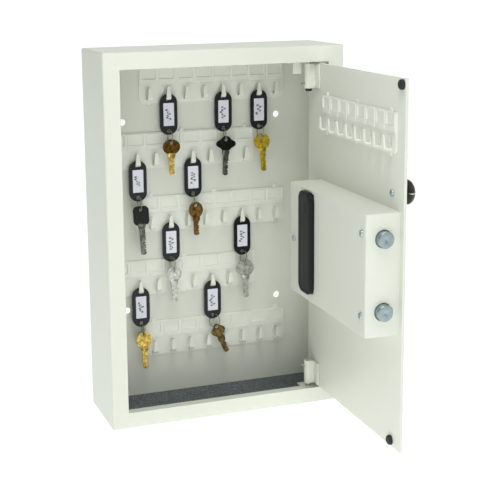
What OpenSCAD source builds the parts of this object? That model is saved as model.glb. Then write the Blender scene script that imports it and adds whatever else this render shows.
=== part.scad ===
// Wall-hung steel key cabinet with an electronic lock, 40 hooks on the back and 8 on the door.
// Frame: the origin is the centre of the four wall holes, on the rear face of the back.
// +X is to the right, +Y into the wall and +Z up. The door is drawn closed and then swung open.

/* [Cabinet] */
// Width of the cabinet
cab_w = 300; // [290:1:340]
// Height of the cabinet
cab_h = 450; // [446:1:520]
// Depth of the cabinet
cab_d = 100; // [96:1:140]
// Thickness of the sheet steel
sheet = 1.5; // [1:0.1:2]
// Width of the front frame round the door
frame_w = 20; // [18:1:24]
// Depth of the return flange behind the front frame
return_d = 12; // [8:1:13]
// Thickness of the felt mat on the floor
mat_t = 2.8; // [2:0.1:4]

/* [Wall holes] */
// Distance between the wall holes across
hole_pitch_x = 204; // [200:1:208]
// Distance between the wall holes up
hole_pitch_z = 240; // [238:1:242]
// Radius of a wall hole
hole_r = 4; // [3:0.5:4]
// Height of the middle of the wall holes above the base
hole_rise = 237; // [235:1:239]

/* [Door] */
// Angle that the door stands open at
door_open = 88.5; // [0:0.5:105]
// Thickness of the door plate
door_t = 3.5; // [3:0.1:4]
// Gap between the door and the frame
door_gap = 1.5; // [1:0.1:2]
// Depth of the door's outer face behind the front frame
door_recess = 1.6; // [1:0.1:2]
// Distance from the door's hinge edge to the hinge axis
axis_in = 19.25; // [18:0.25:22]
// Distance from the door's inner face to the hinge axis
axis_off = 8.33; // [8:0.01:9]

/* [Hooks] */
// Width of a hook rack
rack_w = 192; // [190:1:194]
// Height of a hook rack
rack_h = 45; // [44:1:46]
// Distance between two hooks
hook_pitch = 24; // [23:0.5:24]
// Distance between two rows of hooks
row_pitch = 81; // [80:1:82]
// Height of the lowest rack above the base
first_row = 55; // [50:1:56]

/* [Lock] */
// Depth of the lock housing
housing_d = 39.4; // [38:0.1:42]
// Radius of a locking bolt
bolt_r = 9.2; // [8:0.1:9.2]
// Travel of a keypad button
key_travel = 1; // [0.5:0.1:1]

/* [Tags and keys] */
// Width of a key tag
tag_w = 22.5; // [21:0.5:24]
// Height of a key tag
tag_h = 51; // [48:1:52]
// Thickness of a key tag
tag_t = 3; // [2.6:0.1:3]

/* [Hidden] */
$fn = 48;
BACK_ROWS = 5;
HOOKS = 8;
BUTTONS = 12;
TAGS = 9;

// Colours of the finishes
cream_paint = "#e3e4d8";
moulded_cream = "#d9dbcd";
black_plastic = "#1f2124";
zinc = "#8a9a9e";
felt = "#3d4146";
steel = "#b4b8ba";

// Places that follow from the driving sizes
side_x = cab_w / 2;
base_z = -hole_rise;
top_z = base_z + cab_h;
front_y = -cab_d;
open_x = side_x - frame_w;
open_z0 = base_z + frame_w;
open_z1 = top_z - frame_w;
door_x1 = open_x - 1;
door_x0 = -open_x + 2;
door_z0 = open_z0 + door_gap;
door_z1 = open_z1 - door_gap;
door_out_y = front_y + door_recess;
door_in_y = door_out_y + door_t;
hinge_x = door_x1 - axis_in;
hinge_y = door_in_y + axis_off;
eps = 0.01;

// A box given by two opposite corners
module block(lo, hi) {
    translate(lo) cube(hi - lo);
}

// A round bar along Y, from y0 to y1
module bar_y(x, z, r, y0, y1) {
    translate([x, y0, z]) rotate([-90, 0, 0]) cylinder(h = y1 - y0, r = r);
}

// A round bar along X, from x0 to x1
module bar_x(y, z, r, x0, x1) {
    translate([x0, y, z]) rotate([0, 90, 0]) cylinder(h = x1 - x0, r = r);
}

// A flat plate across Y with fully round ends at its top and bottom
module round_ended(w, h, y0, y1) {
    translate([0, y1, 0]) rotate([90, 0, 0]) linear_extrude(y1 - y0) {
        square([w, h - w], center = true);
        for (s = [-1, 1]) translate([0, s * (h - w) / 2]) circle(d = w);
    }
}

// A flat plate across Y with four round corners of radius r
module round_cornered(w, h, r, y0, y1) {
    translate([0, y1, 0]) rotate([90, 0, 0]) linear_extrude(y1 - y0) {
        square([w, h - 2 * r], center = true);
        square([w - 2 * r, h], center = true);
        for (sx = [-1, 1], sz = [-1, 1])
            translate([sx * (w / 2 - r), sz * (h / 2 - r)]) circle(r = r);
    }
}

// Turns what is drawn on the closed door to where the open door is
module on_door() {
    translate([hinge_x, hinge_y, 0]) rotate([0, 0, door_open])
        translate([-hinge_x, -hinge_y, 0]) children();
}

// ---- Cabinet ----

// Pivot plates behind the frame, above and below the door
pivot_plate_t = 2;
pivot_gap = 0.5;
pin_r = 3;
pin_fit = 0.05;

module pivot_plate(z0) {
    difference() {
        block([hinge_x - 10, front_y + sheet, z0], [hinge_x + 14, hinge_y + 8, z0 + pivot_plate_t]);
        translate([hinge_x, hinge_y, z0 - 1]) cylinder(h = pivot_plate_t + 2, r = pin_r + pin_fit);
    }
}

module cabinet_shell() color(cream_paint) {
    flange_end = hinge_x - 7;
    stop_x = flange_end - 14;
    y_in = front_y + sheet;
    y_lip = front_y + return_d;
    difference() {
        block([-side_x, front_y, base_z], [side_x, 0, top_z]);
        block([-side_x + sheet, y_in, base_z + sheet], [side_x - sheet, 1, top_z - sheet]);
        block([-open_x, front_y - 1, open_z0], [open_x, y_in + 1, open_z1]);
    }
    block([-open_x - sheet, y_in, open_z0 - sheet], [-open_x, y_lip, open_z1 + sheet]);
    block([-open_x, y_in, open_z0 - sheet], [flange_end, y_lip, open_z0]);
    block([-open_x, y_in, open_z1], [flange_end, y_lip, open_z1 + sheet]);
    block([stop_x, y_lip - sheet, open_z1 - 12], [flange_end - 3, y_lip, open_z1]);
    pivot_plate(open_z1 + pivot_gap);
    pivot_plate(open_z0 - pivot_gap - pivot_plate_t);
}

module back_panel() color(cream_paint) difference() {
    block([-side_x + sheet, -sheet, base_z + sheet], [side_x - sheet, 0, top_z - sheet]);
    for (sx = [-1, 1], sz = [-1, 1])
        bar_y(sx * hole_pitch_x / 2, sz * hole_pitch_z / 2, hole_r, -sheet - 1, 1);
}

module floor_mat() color(felt) {
    z0 = base_z + sheet;
    block([-side_x + sheet + 1, front_y + sheet + 1, z0], [side_x - sheet - 1, -sheet - 0.5, z0 + mat_t]);
}

// ---- Hook racks ----

// The rack's back is at y = 0, its front faces -Y and its bottom edge is at z = 0
plate_t = 1.6;
label_t = 2.8;
ledge_z = 22.7;
hook_w = 4.5;
hook_t = 1.6;
crook_z = 4;
crook_t = 2;
hook_out = 10.9;
hook_top = 20;
slot_w = 7;
window_w = 19;
window_h = 12;
window_deep = 1;

function hook_x(i) = (i - (HOOKS + 1) / 2) * hook_pitch;

module hook() {
    tip_z = hook_top - hook_w / 2;
    block([-hook_w / 2, -hook_out, crook_z], [hook_w / 2, -plate_t / 2, crook_z + crook_t]);
    block([-hook_w / 2, -hook_out, crook_z], [hook_w / 2, -hook_out + hook_t, tip_z]);
    bar_y(0, tip_z, hook_w / 2, -hook_out, -hook_out + hook_t);
}

module hook_slot() {
    slot_z = crook_z + crook_t;
    tip_z = hook_top - slot_w / 2;
    block([-slot_w / 2, -plate_t - 1, slot_z], [slot_w / 2, 1, tip_z]);
    bar_y(0, tip_z, slot_w / 2, -plate_t - 1, 1);
}

module rack() color(moulded_cream) {
    tab_w = 5;
    tab_h = 4;
    window_z = ledge_z + 4;
    difference() {
        union() {
            block([-rack_w / 2, -plate_t, 0], [rack_w / 2, 0, ledge_z]);
            block([-rack_w / 2, -label_t, ledge_z], [rack_w / 2, 0, rack_h]);
        }
        for (i = [1 : HOOKS]) translate([hook_x(i), 0, 0]) {
            hook_slot();
            block([-window_w / 2, -label_t - 1, window_z],
                  [window_w / 2, -label_t + window_deep, window_z + window_h]);
        }
    }
    for (i = [1 : HOOKS]) translate([hook_x(i), 0, 0]) hook();
    for (s = [-1, 0, 1]) translate([s * (rack_w / 2 - 12), 0, 0]) {
        block([-tab_w / 2, -plate_t, rack_h], [tab_w / 2, 0, rack_h + tab_h]);
        block([-tab_w / 2, -plate_t, -2], [tab_w / 2, 0, 0]);
    }
}

// Alternate rows are set to the right and to the left
row_right = 15.5;
row_left = -26;
function row_x(n) = n % 2 == 1 ? row_right : row_left;
function row_z(n) = base_z + first_row + (BACK_ROWS - n) * row_pitch;

module key_rack(n) {
    translate([row_x(n), -sheet, row_z(n)]) rack();
}

// The rack inside the door, as [x of its middle, z of its bottom edge]
door_rack_at = [-14, 110];

module door_key_rack() on_door()
    translate([door_rack_at[0], door_in_y, door_rack_at[1]]) rotate([0, 0, 180]) rack();

// ---- Door ----

// Lock housing on the closed door: its side faces and its bottom and top
house_x0 = -120.5;
house_x1 = 91.5;
house_z0 = -83.5;
house_z1 = 51;
house_t = 1.2;
house_y = door_in_y + housing_d;
post_r = 4;
screw_r = 1.95;
screw_len = 9;
// Screws that hold the housing, as [x, z]
screw_at = [[-110.5, 29], [-110.5, -61], [78.5, -16.5]];
knob_at = [-101.3, 68];
cable_hole_r = 6;
keypad_at = [-14, -16];

// A bracket that reaches round a bolt, above it (side 1) or below it (side -1), to the screw at x, z
bracket_w = 9;
bracket_t = 2;
bracket_pad = 8;
bracket_reach = 10;

module bolt_bracket(x, z, side, y1) {
    far_z = z + side * bracket_reach;
    near_z = z - side * bracket_w / 2;
    leg_z = far_z - side * bracket_t;
    block([x - bracket_w / 2, door_in_y, min(far_z, leg_z)], [x + bracket_w / 2, y1, max(far_z, leg_z)]);
    block([x - bracket_w / 2, y1 - bracket_pad, min(far_z, near_z)], [x + bracket_w / 2, y1, max(far_z, near_z)]);
}

module door_panel() on_door() color(cream_paint) {
    post_y = house_y - house_t;
    difference() {
        block([door_x0, door_out_y, door_z0], [door_x1, door_in_y, door_z1]);
        bar_y(knob_at[0], knob_at[1], screw_r + 0.1, door_out_y - 1, door_in_y + 1);
        bar_y(keypad_at[0], keypad_at[1], cable_hole_r, door_out_y - 1, door_in_y + 1);
    }
    for (p = screw_at) difference() {
        if (p[0] < 0) bolt_bracket(p[0], p[1], p[1] > 0 ? 1 : -1, post_y);
        else bar_y(p[0], p[1], post_r, door_in_y, post_y);
        bar_y(p[0], p[1], screw_r + pin_fit, post_y - screw_len - 2, post_y + 1);
    }
}

module door_bumpers() on_door() color(black_plastic) {
    bumper_r = 5.5;
    bumper_t = 4;
    for (p = [[-121, 185], [-106, -208]]) {
        bar_y(p[0], p[1], bumper_r, door_in_y, door_in_y + bumper_t - 1);
        bar_y(p[0], p[1], bumper_r - 1, door_in_y, door_in_y + bumper_t);
    }
}

module pull_knob() on_door() color(black_plastic) difference() {
    translate([knob_at[0], door_out_y, knob_at[1]]) rotate([90, 0, 0]) rotate_extrude()
        polygon([
            [0, 0], [8.5, 0], [6.5, 3], [6.5, 8], [9, 10.5], [13.2, 12],
            [13.7, 13.5], [13.2, 15], [11, 18], [7, 19.8], [0, 20.5]
        ]);
    bar_y(knob_at[0], knob_at[1], screw_r + pin_fit, door_out_y - 8, door_out_y + 1);
}

// ---- Hinges ----

tube_r = 5;
tube_len = 30;
tube_end = 1;
guide_far = 9.5;
guide_near = 5;
chamber_r = 4.1;
pin_out = 10;
// How far a pin's inner end stands out of its tube, and for the lower pin how far it is sunk
upper_tail = 3;
lower_tail = -3;
collar_t = 2.5;
collar_r = 3.9;
lever_r = 1.2;
lever_z = 6;
lever_out = 9;
pin_travel = 8;
spring_wire = 0.7;

// A hinge is drawn for the top of the door, with z = 0 at the tube's lower end and up towards the frame
module at_upper_hinge() translate([hinge_x, hinge_y, door_z1 - tube_end - tube_len]) children();
module at_lower_hinge() translate([hinge_x, hinge_y, door_z0 + tube_end + tube_len])
    mirror([0, 0, 1]) children();

module hinge_tube() color(cream_paint) {
    slot_half = lever_r + 0.3;
    weld_x = -tube_r - 12;
    difference() {
        union() {
            cylinder(h = tube_len, r = tube_r);
            block([-tube_r, -axis_off, 0], [-tube_r + 3, 0, tube_len]);
            block([weld_x, -axis_off, 0], [-tube_r + 1, -axis_off + 2, tube_len]);
        }
        translate([0, 0, -1]) cylinder(h = tube_len + 2, r = pin_r + pin_fit);
        translate([0, 0, guide_far]) cylinder(h = tube_len - guide_far - guide_near, r = chamber_r);
        block([-slot_half, 0, -1], [slot_half, tube_r + 1, lever_z + slot_half]);
    }
}

module hinge_pin(tail) color(steel) {
    collar_z = tube_len - guide_near - collar_t - 0.1;
    translate([0, 0, -tail]) cylinder(h = tail + tube_len + pin_out, r = pin_r);
    translate([0, 0, collar_z]) cylinder(h = collar_t, r = collar_r);
    translate([0, 0, lever_z]) rotate([-90, 0, 0]) cylinder(h = lever_out, r = lever_r);
}

module hinge_spring() color(steel) {
    coil_r = pin_r + pin_fit + spring_wire / 2 + 0.05;
    spring_len = tube_len - guide_near - collar_t - guide_far - 0.4;
    turns = 5;
    translate([0, 0, guide_far + 0.1])
        linear_extrude(height = spring_len, twist = -360 * turns, slices = 12 * turns, $fn = 8)
            translate([coil_r, 0]) circle(d = spring_wire);
}

module upper_hinge_tube() on_door() at_upper_hinge() hinge_tube();
module lower_hinge_tube() on_door() at_lower_hinge() hinge_tube();
module upper_hinge_pin() on_door() at_upper_hinge() hinge_pin(upper_tail);
module lower_hinge_pin() on_door() at_lower_hinge() hinge_pin(lower_tail);
module upper_hinge_spring() on_door() at_upper_hinge() hinge_spring();
module lower_hinge_spring() on_door() at_lower_hinge() hinge_spring();

// ---- Lock ----

bolt_y = door_in_y + 18.8;
bolt_z = [23.5, -56];
bolt_out = 7;
bolt_len = 37.5;
// The battery opening in the housing's face, as its middle and its size
battery_at = [35.2, -12.4];
battery_w = 33;
battery_h = 119;
cover_margin = 1.5;
case_d = 24;
case_wall = 1.5;

module lock_housing() on_door() color(cream_paint) difference() {
    block([house_x0, door_in_y, house_z0], [house_x1, house_y, house_z1]);
    block([house_x0 + house_t, door_in_y - 1, house_z0 + house_t],
          [house_x1 - house_t, house_y - house_t, house_z1 - house_t]);
    for (z = bolt_z) bar_x(bolt_y, z, bolt_r + 0.8, house_x0 - 1, house_x0 + house_t + 1);
    for (p = screw_at) bar_y(p[0], p[1], screw_r + 0.15, house_y - house_t - 1, house_y + 1);
    translate([battery_at[0], 0, battery_at[1]])
        round_cornered(battery_w, battery_h, 8, house_y - house_t - 1, house_y + 1);
}

module pan_screw(x, z, y) {
    bar_y(x, z, 3.8, y, y + 1.6);
    bar_y(x, z, 2.8, y, y + 2.4);
    bar_y(x, z, screw_r, y - screw_len, y);
}

module housing_screws() on_door() color(zinc) {
    for (p = screw_at) pan_screw(p[0], p[1], house_y);
    pan_screw(knob_at[0], knob_at[1], door_in_y);
}

module bolt(z) on_door() color(zinc) {
    chamfer = 1;
    tip_x = house_x0 - bolt_out;
    bar_x(bolt_y, z, bolt_r, tip_x + chamfer, tip_x + bolt_len);
    translate([tip_x, bolt_y, z]) rotate([0, 90, 0])
        cylinder(h = chamfer, r1 = bolt_r - chamfer, r2 = bolt_r);
}

// Rack and pinion that throw the bolts
tooth_module = 1.25;
pinion_teeth = 12;
pinion_r = tooth_module * pinion_teeth / 2;
backlash = 0.3;
pressure = 20;
rack_addendum = 0.65 * tooth_module;
pinion_addendum = 0.8 * tooth_module;
dedendum = 1.05 * tooth_module;
carriage_x = house_x0 - bolt_out + bolt_len;
carriage_t = 4;
pinion_x = -50;
pitch_z = -13;
gear_y0 = bolt_y - 3;
gear_y1 = bolt_y + 3;

module rack_tooth() {
    half = (PI * tooth_module / 2 - backlash) / 2;
    slope = tan(pressure);
    polygon([
        [-half - dedendum * slope, -dedendum],
        [half + dedendum * slope, -dedendum],
        [half - rack_addendum * slope, rack_addendum],
        [-half + rack_addendum * slope, rack_addendum]
    ]);
}

module bolt_carriage() on_door() color(zinc) {
    bar_z0 = pitch_z - dedendum - 5;
    step = PI * tooth_module;
    block([carriage_x, gear_y0 - 4, bolt_z[1] - 8], [carriage_x + carriage_t, gear_y1 + 4, bolt_z[0] + 8]);
    block([carriage_x + carriage_t, gear_y0, bar_z0], [pinion_x + 30, gear_y1, pitch_z - dedendum]);
    translate([pinion_x, gear_y1, pitch_z]) rotate([90, 0, 0]) linear_extrude(gear_y1 - gear_y0)
        for (i = [-4 : 6]) translate([(i + 0.5) * step, -eps]) rack_tooth();
}

module upper_bolt() bolt(bolt_z[0]);
module lower_bolt() bolt(bolt_z[1]);

// Points of one involute flank, from the base circle out to the tip, by roll angle
base_r = pinion_r * cos(pressure);
tip_r = pinion_r + pinion_addendum;
root_r = pinion_r - dedendum;
function roll_at(r) = sqrt(pow(r / base_r, 2) - 1) * 180 / PI;
function flank(t) = [
    base_r * (cos(t) + t * PI / 180 * sin(t)),
    base_r * (sin(t) - t * PI / 180 * cos(t))
];
function turned(p, a) = [p[0] * cos(a) - p[1] * sin(a), p[0] * sin(a) + p[1] * cos(a)];
tooth_half = (PI * tooth_module / 2 - backlash) / 2 / pinion_r * 180 / PI;
flank_offset = tooth_half + (roll_at(pinion_r) - pressure);
flank_steps = 4;
function tooth_side() = [
    for (k = [0 : flank_steps]) turned(flank(roll_at(tip_r) * k / flank_steps), -flank_offset)
];
function tooth_points(a) = concat(
    [turned([root_r, 0], a - flank_offset)],
    [for (p = tooth_side()) turned(p, a)],
    [for (k = [flank_steps : -1 : 0]) turned([tooth_side()[k][0], -tooth_side()[k][1]], a)],
    [turned([root_r, 0], a + flank_offset)]
);

shaft_r = 2;
motor_y0 = gear_y1 + 2;
motor_y1 = house_y - house_t;
pinion_z = pitch_z + pinion_r;

module drive_pinion() on_door() color("#e8e6df") {
    translate([pinion_x, gear_y1, pinion_z]) rotate([90, 0, 0]) linear_extrude(gear_y1 - gear_y0)
        polygon([for (i = [0 : pinion_teeth - 1], p = tooth_points(i * 360 / pinion_teeth - 90)) p]);
    bar_y(pinion_x, pinion_z, shaft_r, gear_y1, motor_y0 + 8);
}

module gear_motor() on_door() color(steel) difference() {
    union() {
        block([pinion_x - 12, motor_y0, pinion_z - 10], [pinion_x + 12, motor_y1, pinion_z + 14]);
        translate([pinion_x, (motor_y0 + motor_y1) / 2, pinion_z + 14])
            cylinder(h = 20, r = (motor_y1 - motor_y0) / 2);
    }
    bar_y(pinion_x, pinion_z, shaft_r + pin_fit, motor_y0 - 1, motor_y0 + 9);
}

module battery_case() on_door() color(black_plastic) difference() {
    case_w = battery_w - 2;
    case_h = battery_h - 2;
    case_r = 7;
    translate([battery_at[0], 0, battery_at[1]])
        round_cornered(case_w, case_h, case_r, house_y - case_d, house_y);
    translate([battery_at[0], 0, battery_at[1]])
        round_cornered(case_w - 2 * case_wall, case_h - 2 * case_wall, case_r - case_wall,
                       house_y - case_d + case_wall, house_y + 1);
}

module batteries() on_door() color("#3f6f52") {
    cell_r = 6.8;
    cell_len = 49;
    nub_len = 1.3;
    for (sx = [-1, 1], sz = [-1, 1])
        translate([battery_at[0] + sx * (cell_r + 0.1), house_y - case_d + case_wall + cell_r + 0.3,
                   battery_at[1] + sz * 27 - cell_len / 2]) {
            cylinder(h = cell_len, r = cell_r);
            translate([0, 0, cell_len]) cylinder(h = nub_len, r = 2.6);
        }
}

cover_w = battery_w + 2 * cover_margin;
cover_h = battery_h + 2 * cover_margin;
cover_t = 6;

module battery_cover() on_door() color(black_plastic) {
    wall = 1.5;
    lip_w = battery_w - 6;
    lip_h = battery_h - 6;
    translate([battery_at[0], 0, battery_at[1]]) difference() {
        union() {
            round_cornered(cover_w, cover_h, 11, house_y + 0.05, house_y + cover_t);
            round_cornered(lip_w, lip_h, 6, house_y - 3, house_y + 1);
        }
        round_cornered(lip_w - 2 * wall, lip_h - 2 * wall, 6 - wall, house_y - 4, house_y + cover_t - wall);
    }
}

module circuit_board() on_door() color("#2f6b45") {
    board_y = door_in_y + 5;
    board_t = 1.6;
    x = keypad_at[0];
    z = keypad_at[1];
    block([x - 26, board_y, z - 30], [x + 30, board_y + board_t, z + 40]);
    for (sx = [-20, 24], sz = [-24, 34]) bar_y(x + sx, z + sz, 2.5, door_in_y, board_y);
    block([x - 8, board_y + board_t, z + 12], [x + 6, board_y + board_t + 2.5, z + 26]);
    block([x + 10, board_y + board_t, z - 20], [x + 26, board_y + board_t + 6, z - 10]);
    bar_y(x + 20, z + 26, 4, board_y + board_t, board_y + board_t + 7);
}

// ---- Keypad ----

pad_w = 76;
pad_h = 112;
pad_t = 8;
pad_y = door_out_y - pad_t;
button_w = 15;
button_h = 11;
button_pitch = [20, 18];
button_out = 2;
button_deep = 5;
button_fit = 0.3;
pad_cols = 3;
pad_rows = 4;
function button_x(i) = keypad_at[0] + ((i - 1) % pad_cols - 1) * button_pitch[0];
function button_z(i) = keypad_at[1] + 18 - floor((i - 1) / pad_cols) * button_pitch[1];

module keypad_panel() on_door() color(black_plastic) difference() {
    translate([keypad_at[0], 0, keypad_at[1]]) round_cornered(pad_w, pad_h, 8, pad_y, door_out_y);
    for (i = [1 : BUTTONS]) translate([button_x(i), 0, button_z(i)])
        round_cornered(button_w + 2 * button_fit, button_h + 2 * button_fit, 2 + button_fit,
                       pad_y - 1, pad_y + button_deep + key_travel + 0.2);
    translate([keypad_at[0], 0, keypad_at[1] + pad_h / 2 - 16])
        round_cornered(52, 14, 3, pad_y - 1, pad_y + 0.8);
}

module button(i) on_door() color("#c9ccd0")
    translate([button_x(i), 0, button_z(i)])
        round_cornered(button_w, button_h, 2, pad_y - button_out, pad_y + button_deep);

// ---- Tags and keys ----

// Where each tag hangs, as [row, hook]
tag_at = [[1, 2], [1, 5], [1, 7], [2, 2], [2, 5], [3, 2], [3, 6], [4, 2], [4, 6]];
// How far each split ring is turned about the upright
ring_turn = [0, 0, 0, 0, 0, 0, 0, 0, 10];
// How far each key leans to the right of straight down
key_lean = [0, -2, 4, 3, 1, 1, 2, 3, 22];
hang_y = -sheet - 7.1;
hang_gap = 0.95;
tag_bar = 4.5;
tag_slot = [6, 4];
ring_hole_r = 2.6;
ring_bar = 2;
ring_r = 8;
ring_wire = 1.3;
ring_lean = 35;
label_size = [13.5, 29];
label_sunk = 0.4;

tag_top = hang_gap + tag_bar;
ring_hole_z = tag_top - tag_h + ring_bar + ring_hole_r;
key_drop = ring_hole_z - 2 * ring_r * cos(ring_lean);
key_out = -2 * ring_r * sin(ring_lean);

// Origin at the middle of the hook's crook, from which the tag hangs
module at_hook(n) translate([
    row_x(tag_at[n - 1][0]) + hook_x(tag_at[n - 1][1]),
    hang_y,
    row_z(tag_at[n - 1][0]) + crook_z + crook_t
]) children();

// Origin at the ring's wire, where the key hangs on it
module at_ring(n) at_hook(n) translate([0, 0, ring_hole_z]) rotate([0, 0, ring_turn[n - 1]])
    translate([0, key_out, key_drop - ring_hole_z]) rotate([0, 0, -ring_turn[n - 1]]) children();

module key_tag(n) at_hook(n) {
    label_y = -tag_t / 2 + label_sunk;
    mid_z = tag_top - tag_h / 2;
    color(black_plastic) difference() {
        translate([0, 0, mid_z]) round_ended(tag_w, tag_h, -tag_t / 2, tag_t / 2);
        block([-tag_slot[0] / 2, -tag_t, hang_gap - tag_slot[1]], [tag_slot[0] / 2, tag_t, hang_gap]);
        bar_y(0, ring_hole_z, ring_hole_r, -tag_t, tag_t);
        translate([0, 0, mid_z]) round_cornered(label_size[0], label_size[1], 1, -tag_t, label_y);
    }
    color("#e9e9f2") translate([0, 0, mid_z])
        round_cornered(label_size[0] - 0.1, label_size[1] - 0.1, 1, label_y - 0.3, label_y);
    color(steel) translate([0, 0, ring_hole_z]) rotate([0, 0, ring_turn[n - 1]])
        translate([0, key_out / 2, (key_drop - ring_hole_z) / 2]) rotate([0, 90, 0])
            rotate_extrude() translate([ring_r, 0]) circle(d = ring_wire);
}

// The keys: their length, and the shape, width, height, thickness and colour of their heads
key_len = [44, 50, 48, 62, 43, 46, 50, 48, 42];
key_heads = [
    ["round", 22, 19, 2.2, "#6b5236"],
    ["eared", 24, 20, 2.2, "#23211f"],
    ["round", 21, 20, 2.2, "#b08d4a"],
    ["square", 20, 24, 2.2, "#1d1f22"],
    ["round", 18, 21, 2.2, "#7d6a4a"],
    ["round", 20, 19, 2.2, "#b9bdb4"],
    ["round", 24, 22, 2.2, "#c3c6c2"],
    ["round", 20, 21, 2.2, "#b29a4e"],
    ["diamond", 20, 21, 2.2, "#6a5c3e"]
];
blade_w = 7;
blade_t = 2.2;
collar_w = 9.4;
collar_h = 6;
key_hole_r = 2.25;
key_bar = 2.3;
hole_top = 1.75;
key_top = hole_top + key_bar;

module head_outline(shape, w, h) {
    if (shape == "round") scale([w / h, 1]) circle(d = h);
    if (shape == "eared") for (a = [90 : 120 : 330])
        translate([w / 5 * cos(a), h / 6 * sin(a)]) circle(d = h * 0.62);
    if (shape == "square") {
        square([w, h - 8], center = true);
        square([w - 8, h], center = true);
        for (sx = [-1, 1], sz = [-1, 1]) translate([sx * (w / 2 - 4), sz * (h / 2 - 4)]) circle(r = 4);
    }
    if (shape == "diamond") polygon([
        [-3, h / 2], [3, h / 2], [w / 2, 2], [w / 2, -2], [4, -h / 2], [-4, -h / 2], [-w / 2, -2], [-w / 2, 2]
    ]);
}

// Depths of the cuts along one edge of a blade
cut_depths = [1.2, 2.2, 0.8, 2.4, 1.6];
cut_step = 3.2;

module blade_outline(reach) {
    half = blade_w / 2;
    cuts = [for (k = [0 : len(cut_depths) - 1]) let (z = -reach + 4.5 + k * cut_step)
        each [[half, z - 1.4], [half - cut_depths[k], z], [half, z + 1.4]]];
    polygon(concat([[-half, 0], [-half, -reach + 2], [-half + 2.5, -reach], [half - 2.5, -reach]],
                   cuts, [[half, 0]]));
    translate([-collar_w / 2, -collar_h]) square([collar_w, collar_h]);
}

module key(n) at_ring(n) rotate([0, -key_lean[n - 1], 0]) {
    head = key_heads[n - 1];
    head_z = key_top - head[2] / 2;
    thick = head[3];
    back_y = blade_t / 2;
    color(head[4]) difference() {
        union() {
            translate([0, back_y, head_z]) rotate([90, 0, 0]) linear_extrude(thick)
                head_outline(head[0], head[1], head[2]);
            translate([0, back_y, key_top - head[2] + 3]) rotate([90, 0, 0]) linear_extrude(blade_t)
                blade_outline(key_len[n - 1] - head[2] + 3);
        }
        bar_y(0, hole_top - key_hole_r, key_hole_r, back_y - thick - 1, back_y + 1);
    }
}

cabinet_shell();
back_panel();
floor_mat();
for (i = [1 : BACK_ROWS]) key_rack(i);
door_panel();
door_key_rack();
upper_hinge_tube();
lower_hinge_tube();
upper_hinge_pin();
lower_hinge_pin();
upper_hinge_spring();
lower_hinge_spring();
door_bumpers();
pull_knob();
lock_housing();
housing_screws();
bolt_carriage();
upper_bolt();
lower_bolt();
gear_motor();
drive_pinion();
battery_case();
batteries();
battery_cover();
circuit_board();
keypad_panel();
for (i = [1 : BUTTONS]) button(i);
for (i = [1 : TAGS]) key_tag(i);
for (i = [1 : TAGS]) key(i);
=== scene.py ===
"""A wall-hung steel key cabinet standing open: hook racks, tagged keys and an electronic lock in the door.

Pieces are drawn in millimetres with bmesh, in the cabinet's own frame: X to the right, Y towards the wall and
Z up. What belongs to the door is drawn as if the door were shut, and is then turned with it to where it stands
open.
"""
import math

import bmesh
import bpy
from mathutils import Matrix, Vector


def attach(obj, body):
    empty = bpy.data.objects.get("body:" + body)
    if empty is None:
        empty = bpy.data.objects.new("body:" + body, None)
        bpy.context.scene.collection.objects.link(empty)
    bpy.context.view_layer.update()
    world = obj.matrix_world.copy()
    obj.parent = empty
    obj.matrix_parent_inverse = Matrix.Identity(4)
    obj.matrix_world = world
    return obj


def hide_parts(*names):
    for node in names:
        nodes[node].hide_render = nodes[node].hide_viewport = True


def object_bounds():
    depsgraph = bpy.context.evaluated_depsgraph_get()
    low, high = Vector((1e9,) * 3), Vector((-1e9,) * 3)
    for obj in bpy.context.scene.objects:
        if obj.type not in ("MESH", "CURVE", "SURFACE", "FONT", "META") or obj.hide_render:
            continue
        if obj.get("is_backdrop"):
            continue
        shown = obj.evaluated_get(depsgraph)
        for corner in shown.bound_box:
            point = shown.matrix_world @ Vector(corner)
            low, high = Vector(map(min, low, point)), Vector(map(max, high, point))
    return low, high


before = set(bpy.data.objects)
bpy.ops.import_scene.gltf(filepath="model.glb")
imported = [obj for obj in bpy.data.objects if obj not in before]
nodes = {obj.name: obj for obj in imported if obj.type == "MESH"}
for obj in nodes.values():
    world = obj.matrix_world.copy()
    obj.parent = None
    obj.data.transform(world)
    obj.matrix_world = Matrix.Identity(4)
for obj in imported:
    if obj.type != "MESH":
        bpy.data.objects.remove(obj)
cad_low, cad_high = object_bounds()

# ---- Camera ----
# A long lens from the front, a little to the left of the cabinet and above it, looking slightly down.
camera = bpy.data.objects.new("camera", bpy.data.cameras.new("camera"))
bpy.context.scene.collection.objects.link(camera)
bpy.context.scene.camera = camera
camera.data.lens = 84.3
camera.data.sensor_width = 36
camera.data.shift_x = 0.081
camera.data.shift_y = -0.12
camera.data.clip_end = 20
camera.matrix_world = (
    Matrix.Translation((-0.47344, -1.38583, 0.30463))
    @ Matrix.Rotation(-0.3362, 4, "Z")
    @ Matrix.Rotation(math.pi / 2 - 0.1869, 4, "X")
    @ Matrix.Rotation(-0.0135, 4, "Z")
)

# ---- Studio ----
# A plain white floor under the cabinet, a large soft light in front of it, a second one above the open door
# and two weak ones, low in front and on the right. The room is white, but dimmer overhead, on the left and in
# front.


def linear(code):
    """An sRGB hex colour as linear RGBA."""
    parts = [int(code[i : i + 2], 16) / 255 for i in (1, 3, 5)]
    return [c / 12.92 if c <= 0.04045 else ((c + 0.055) / 1.055) ** 2.4 for c in parts] + [1.0]


def add(tree, kind, sets):
    """Adds a shader node. Lower-case keys are its settings; the rest are inputs, set or linked."""
    node = tree.nodes.new("ShaderNode" + kind)
    for key, value in sets.items():
        if isinstance(key, str) and key.islower():
            setattr(node, key, value)
        elif isinstance(value, bpy.types.NodeSocket):
            tree.links.new(value, node.inputs[key])
        else:
            node.inputs[key].default_value = value
    return node


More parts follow.
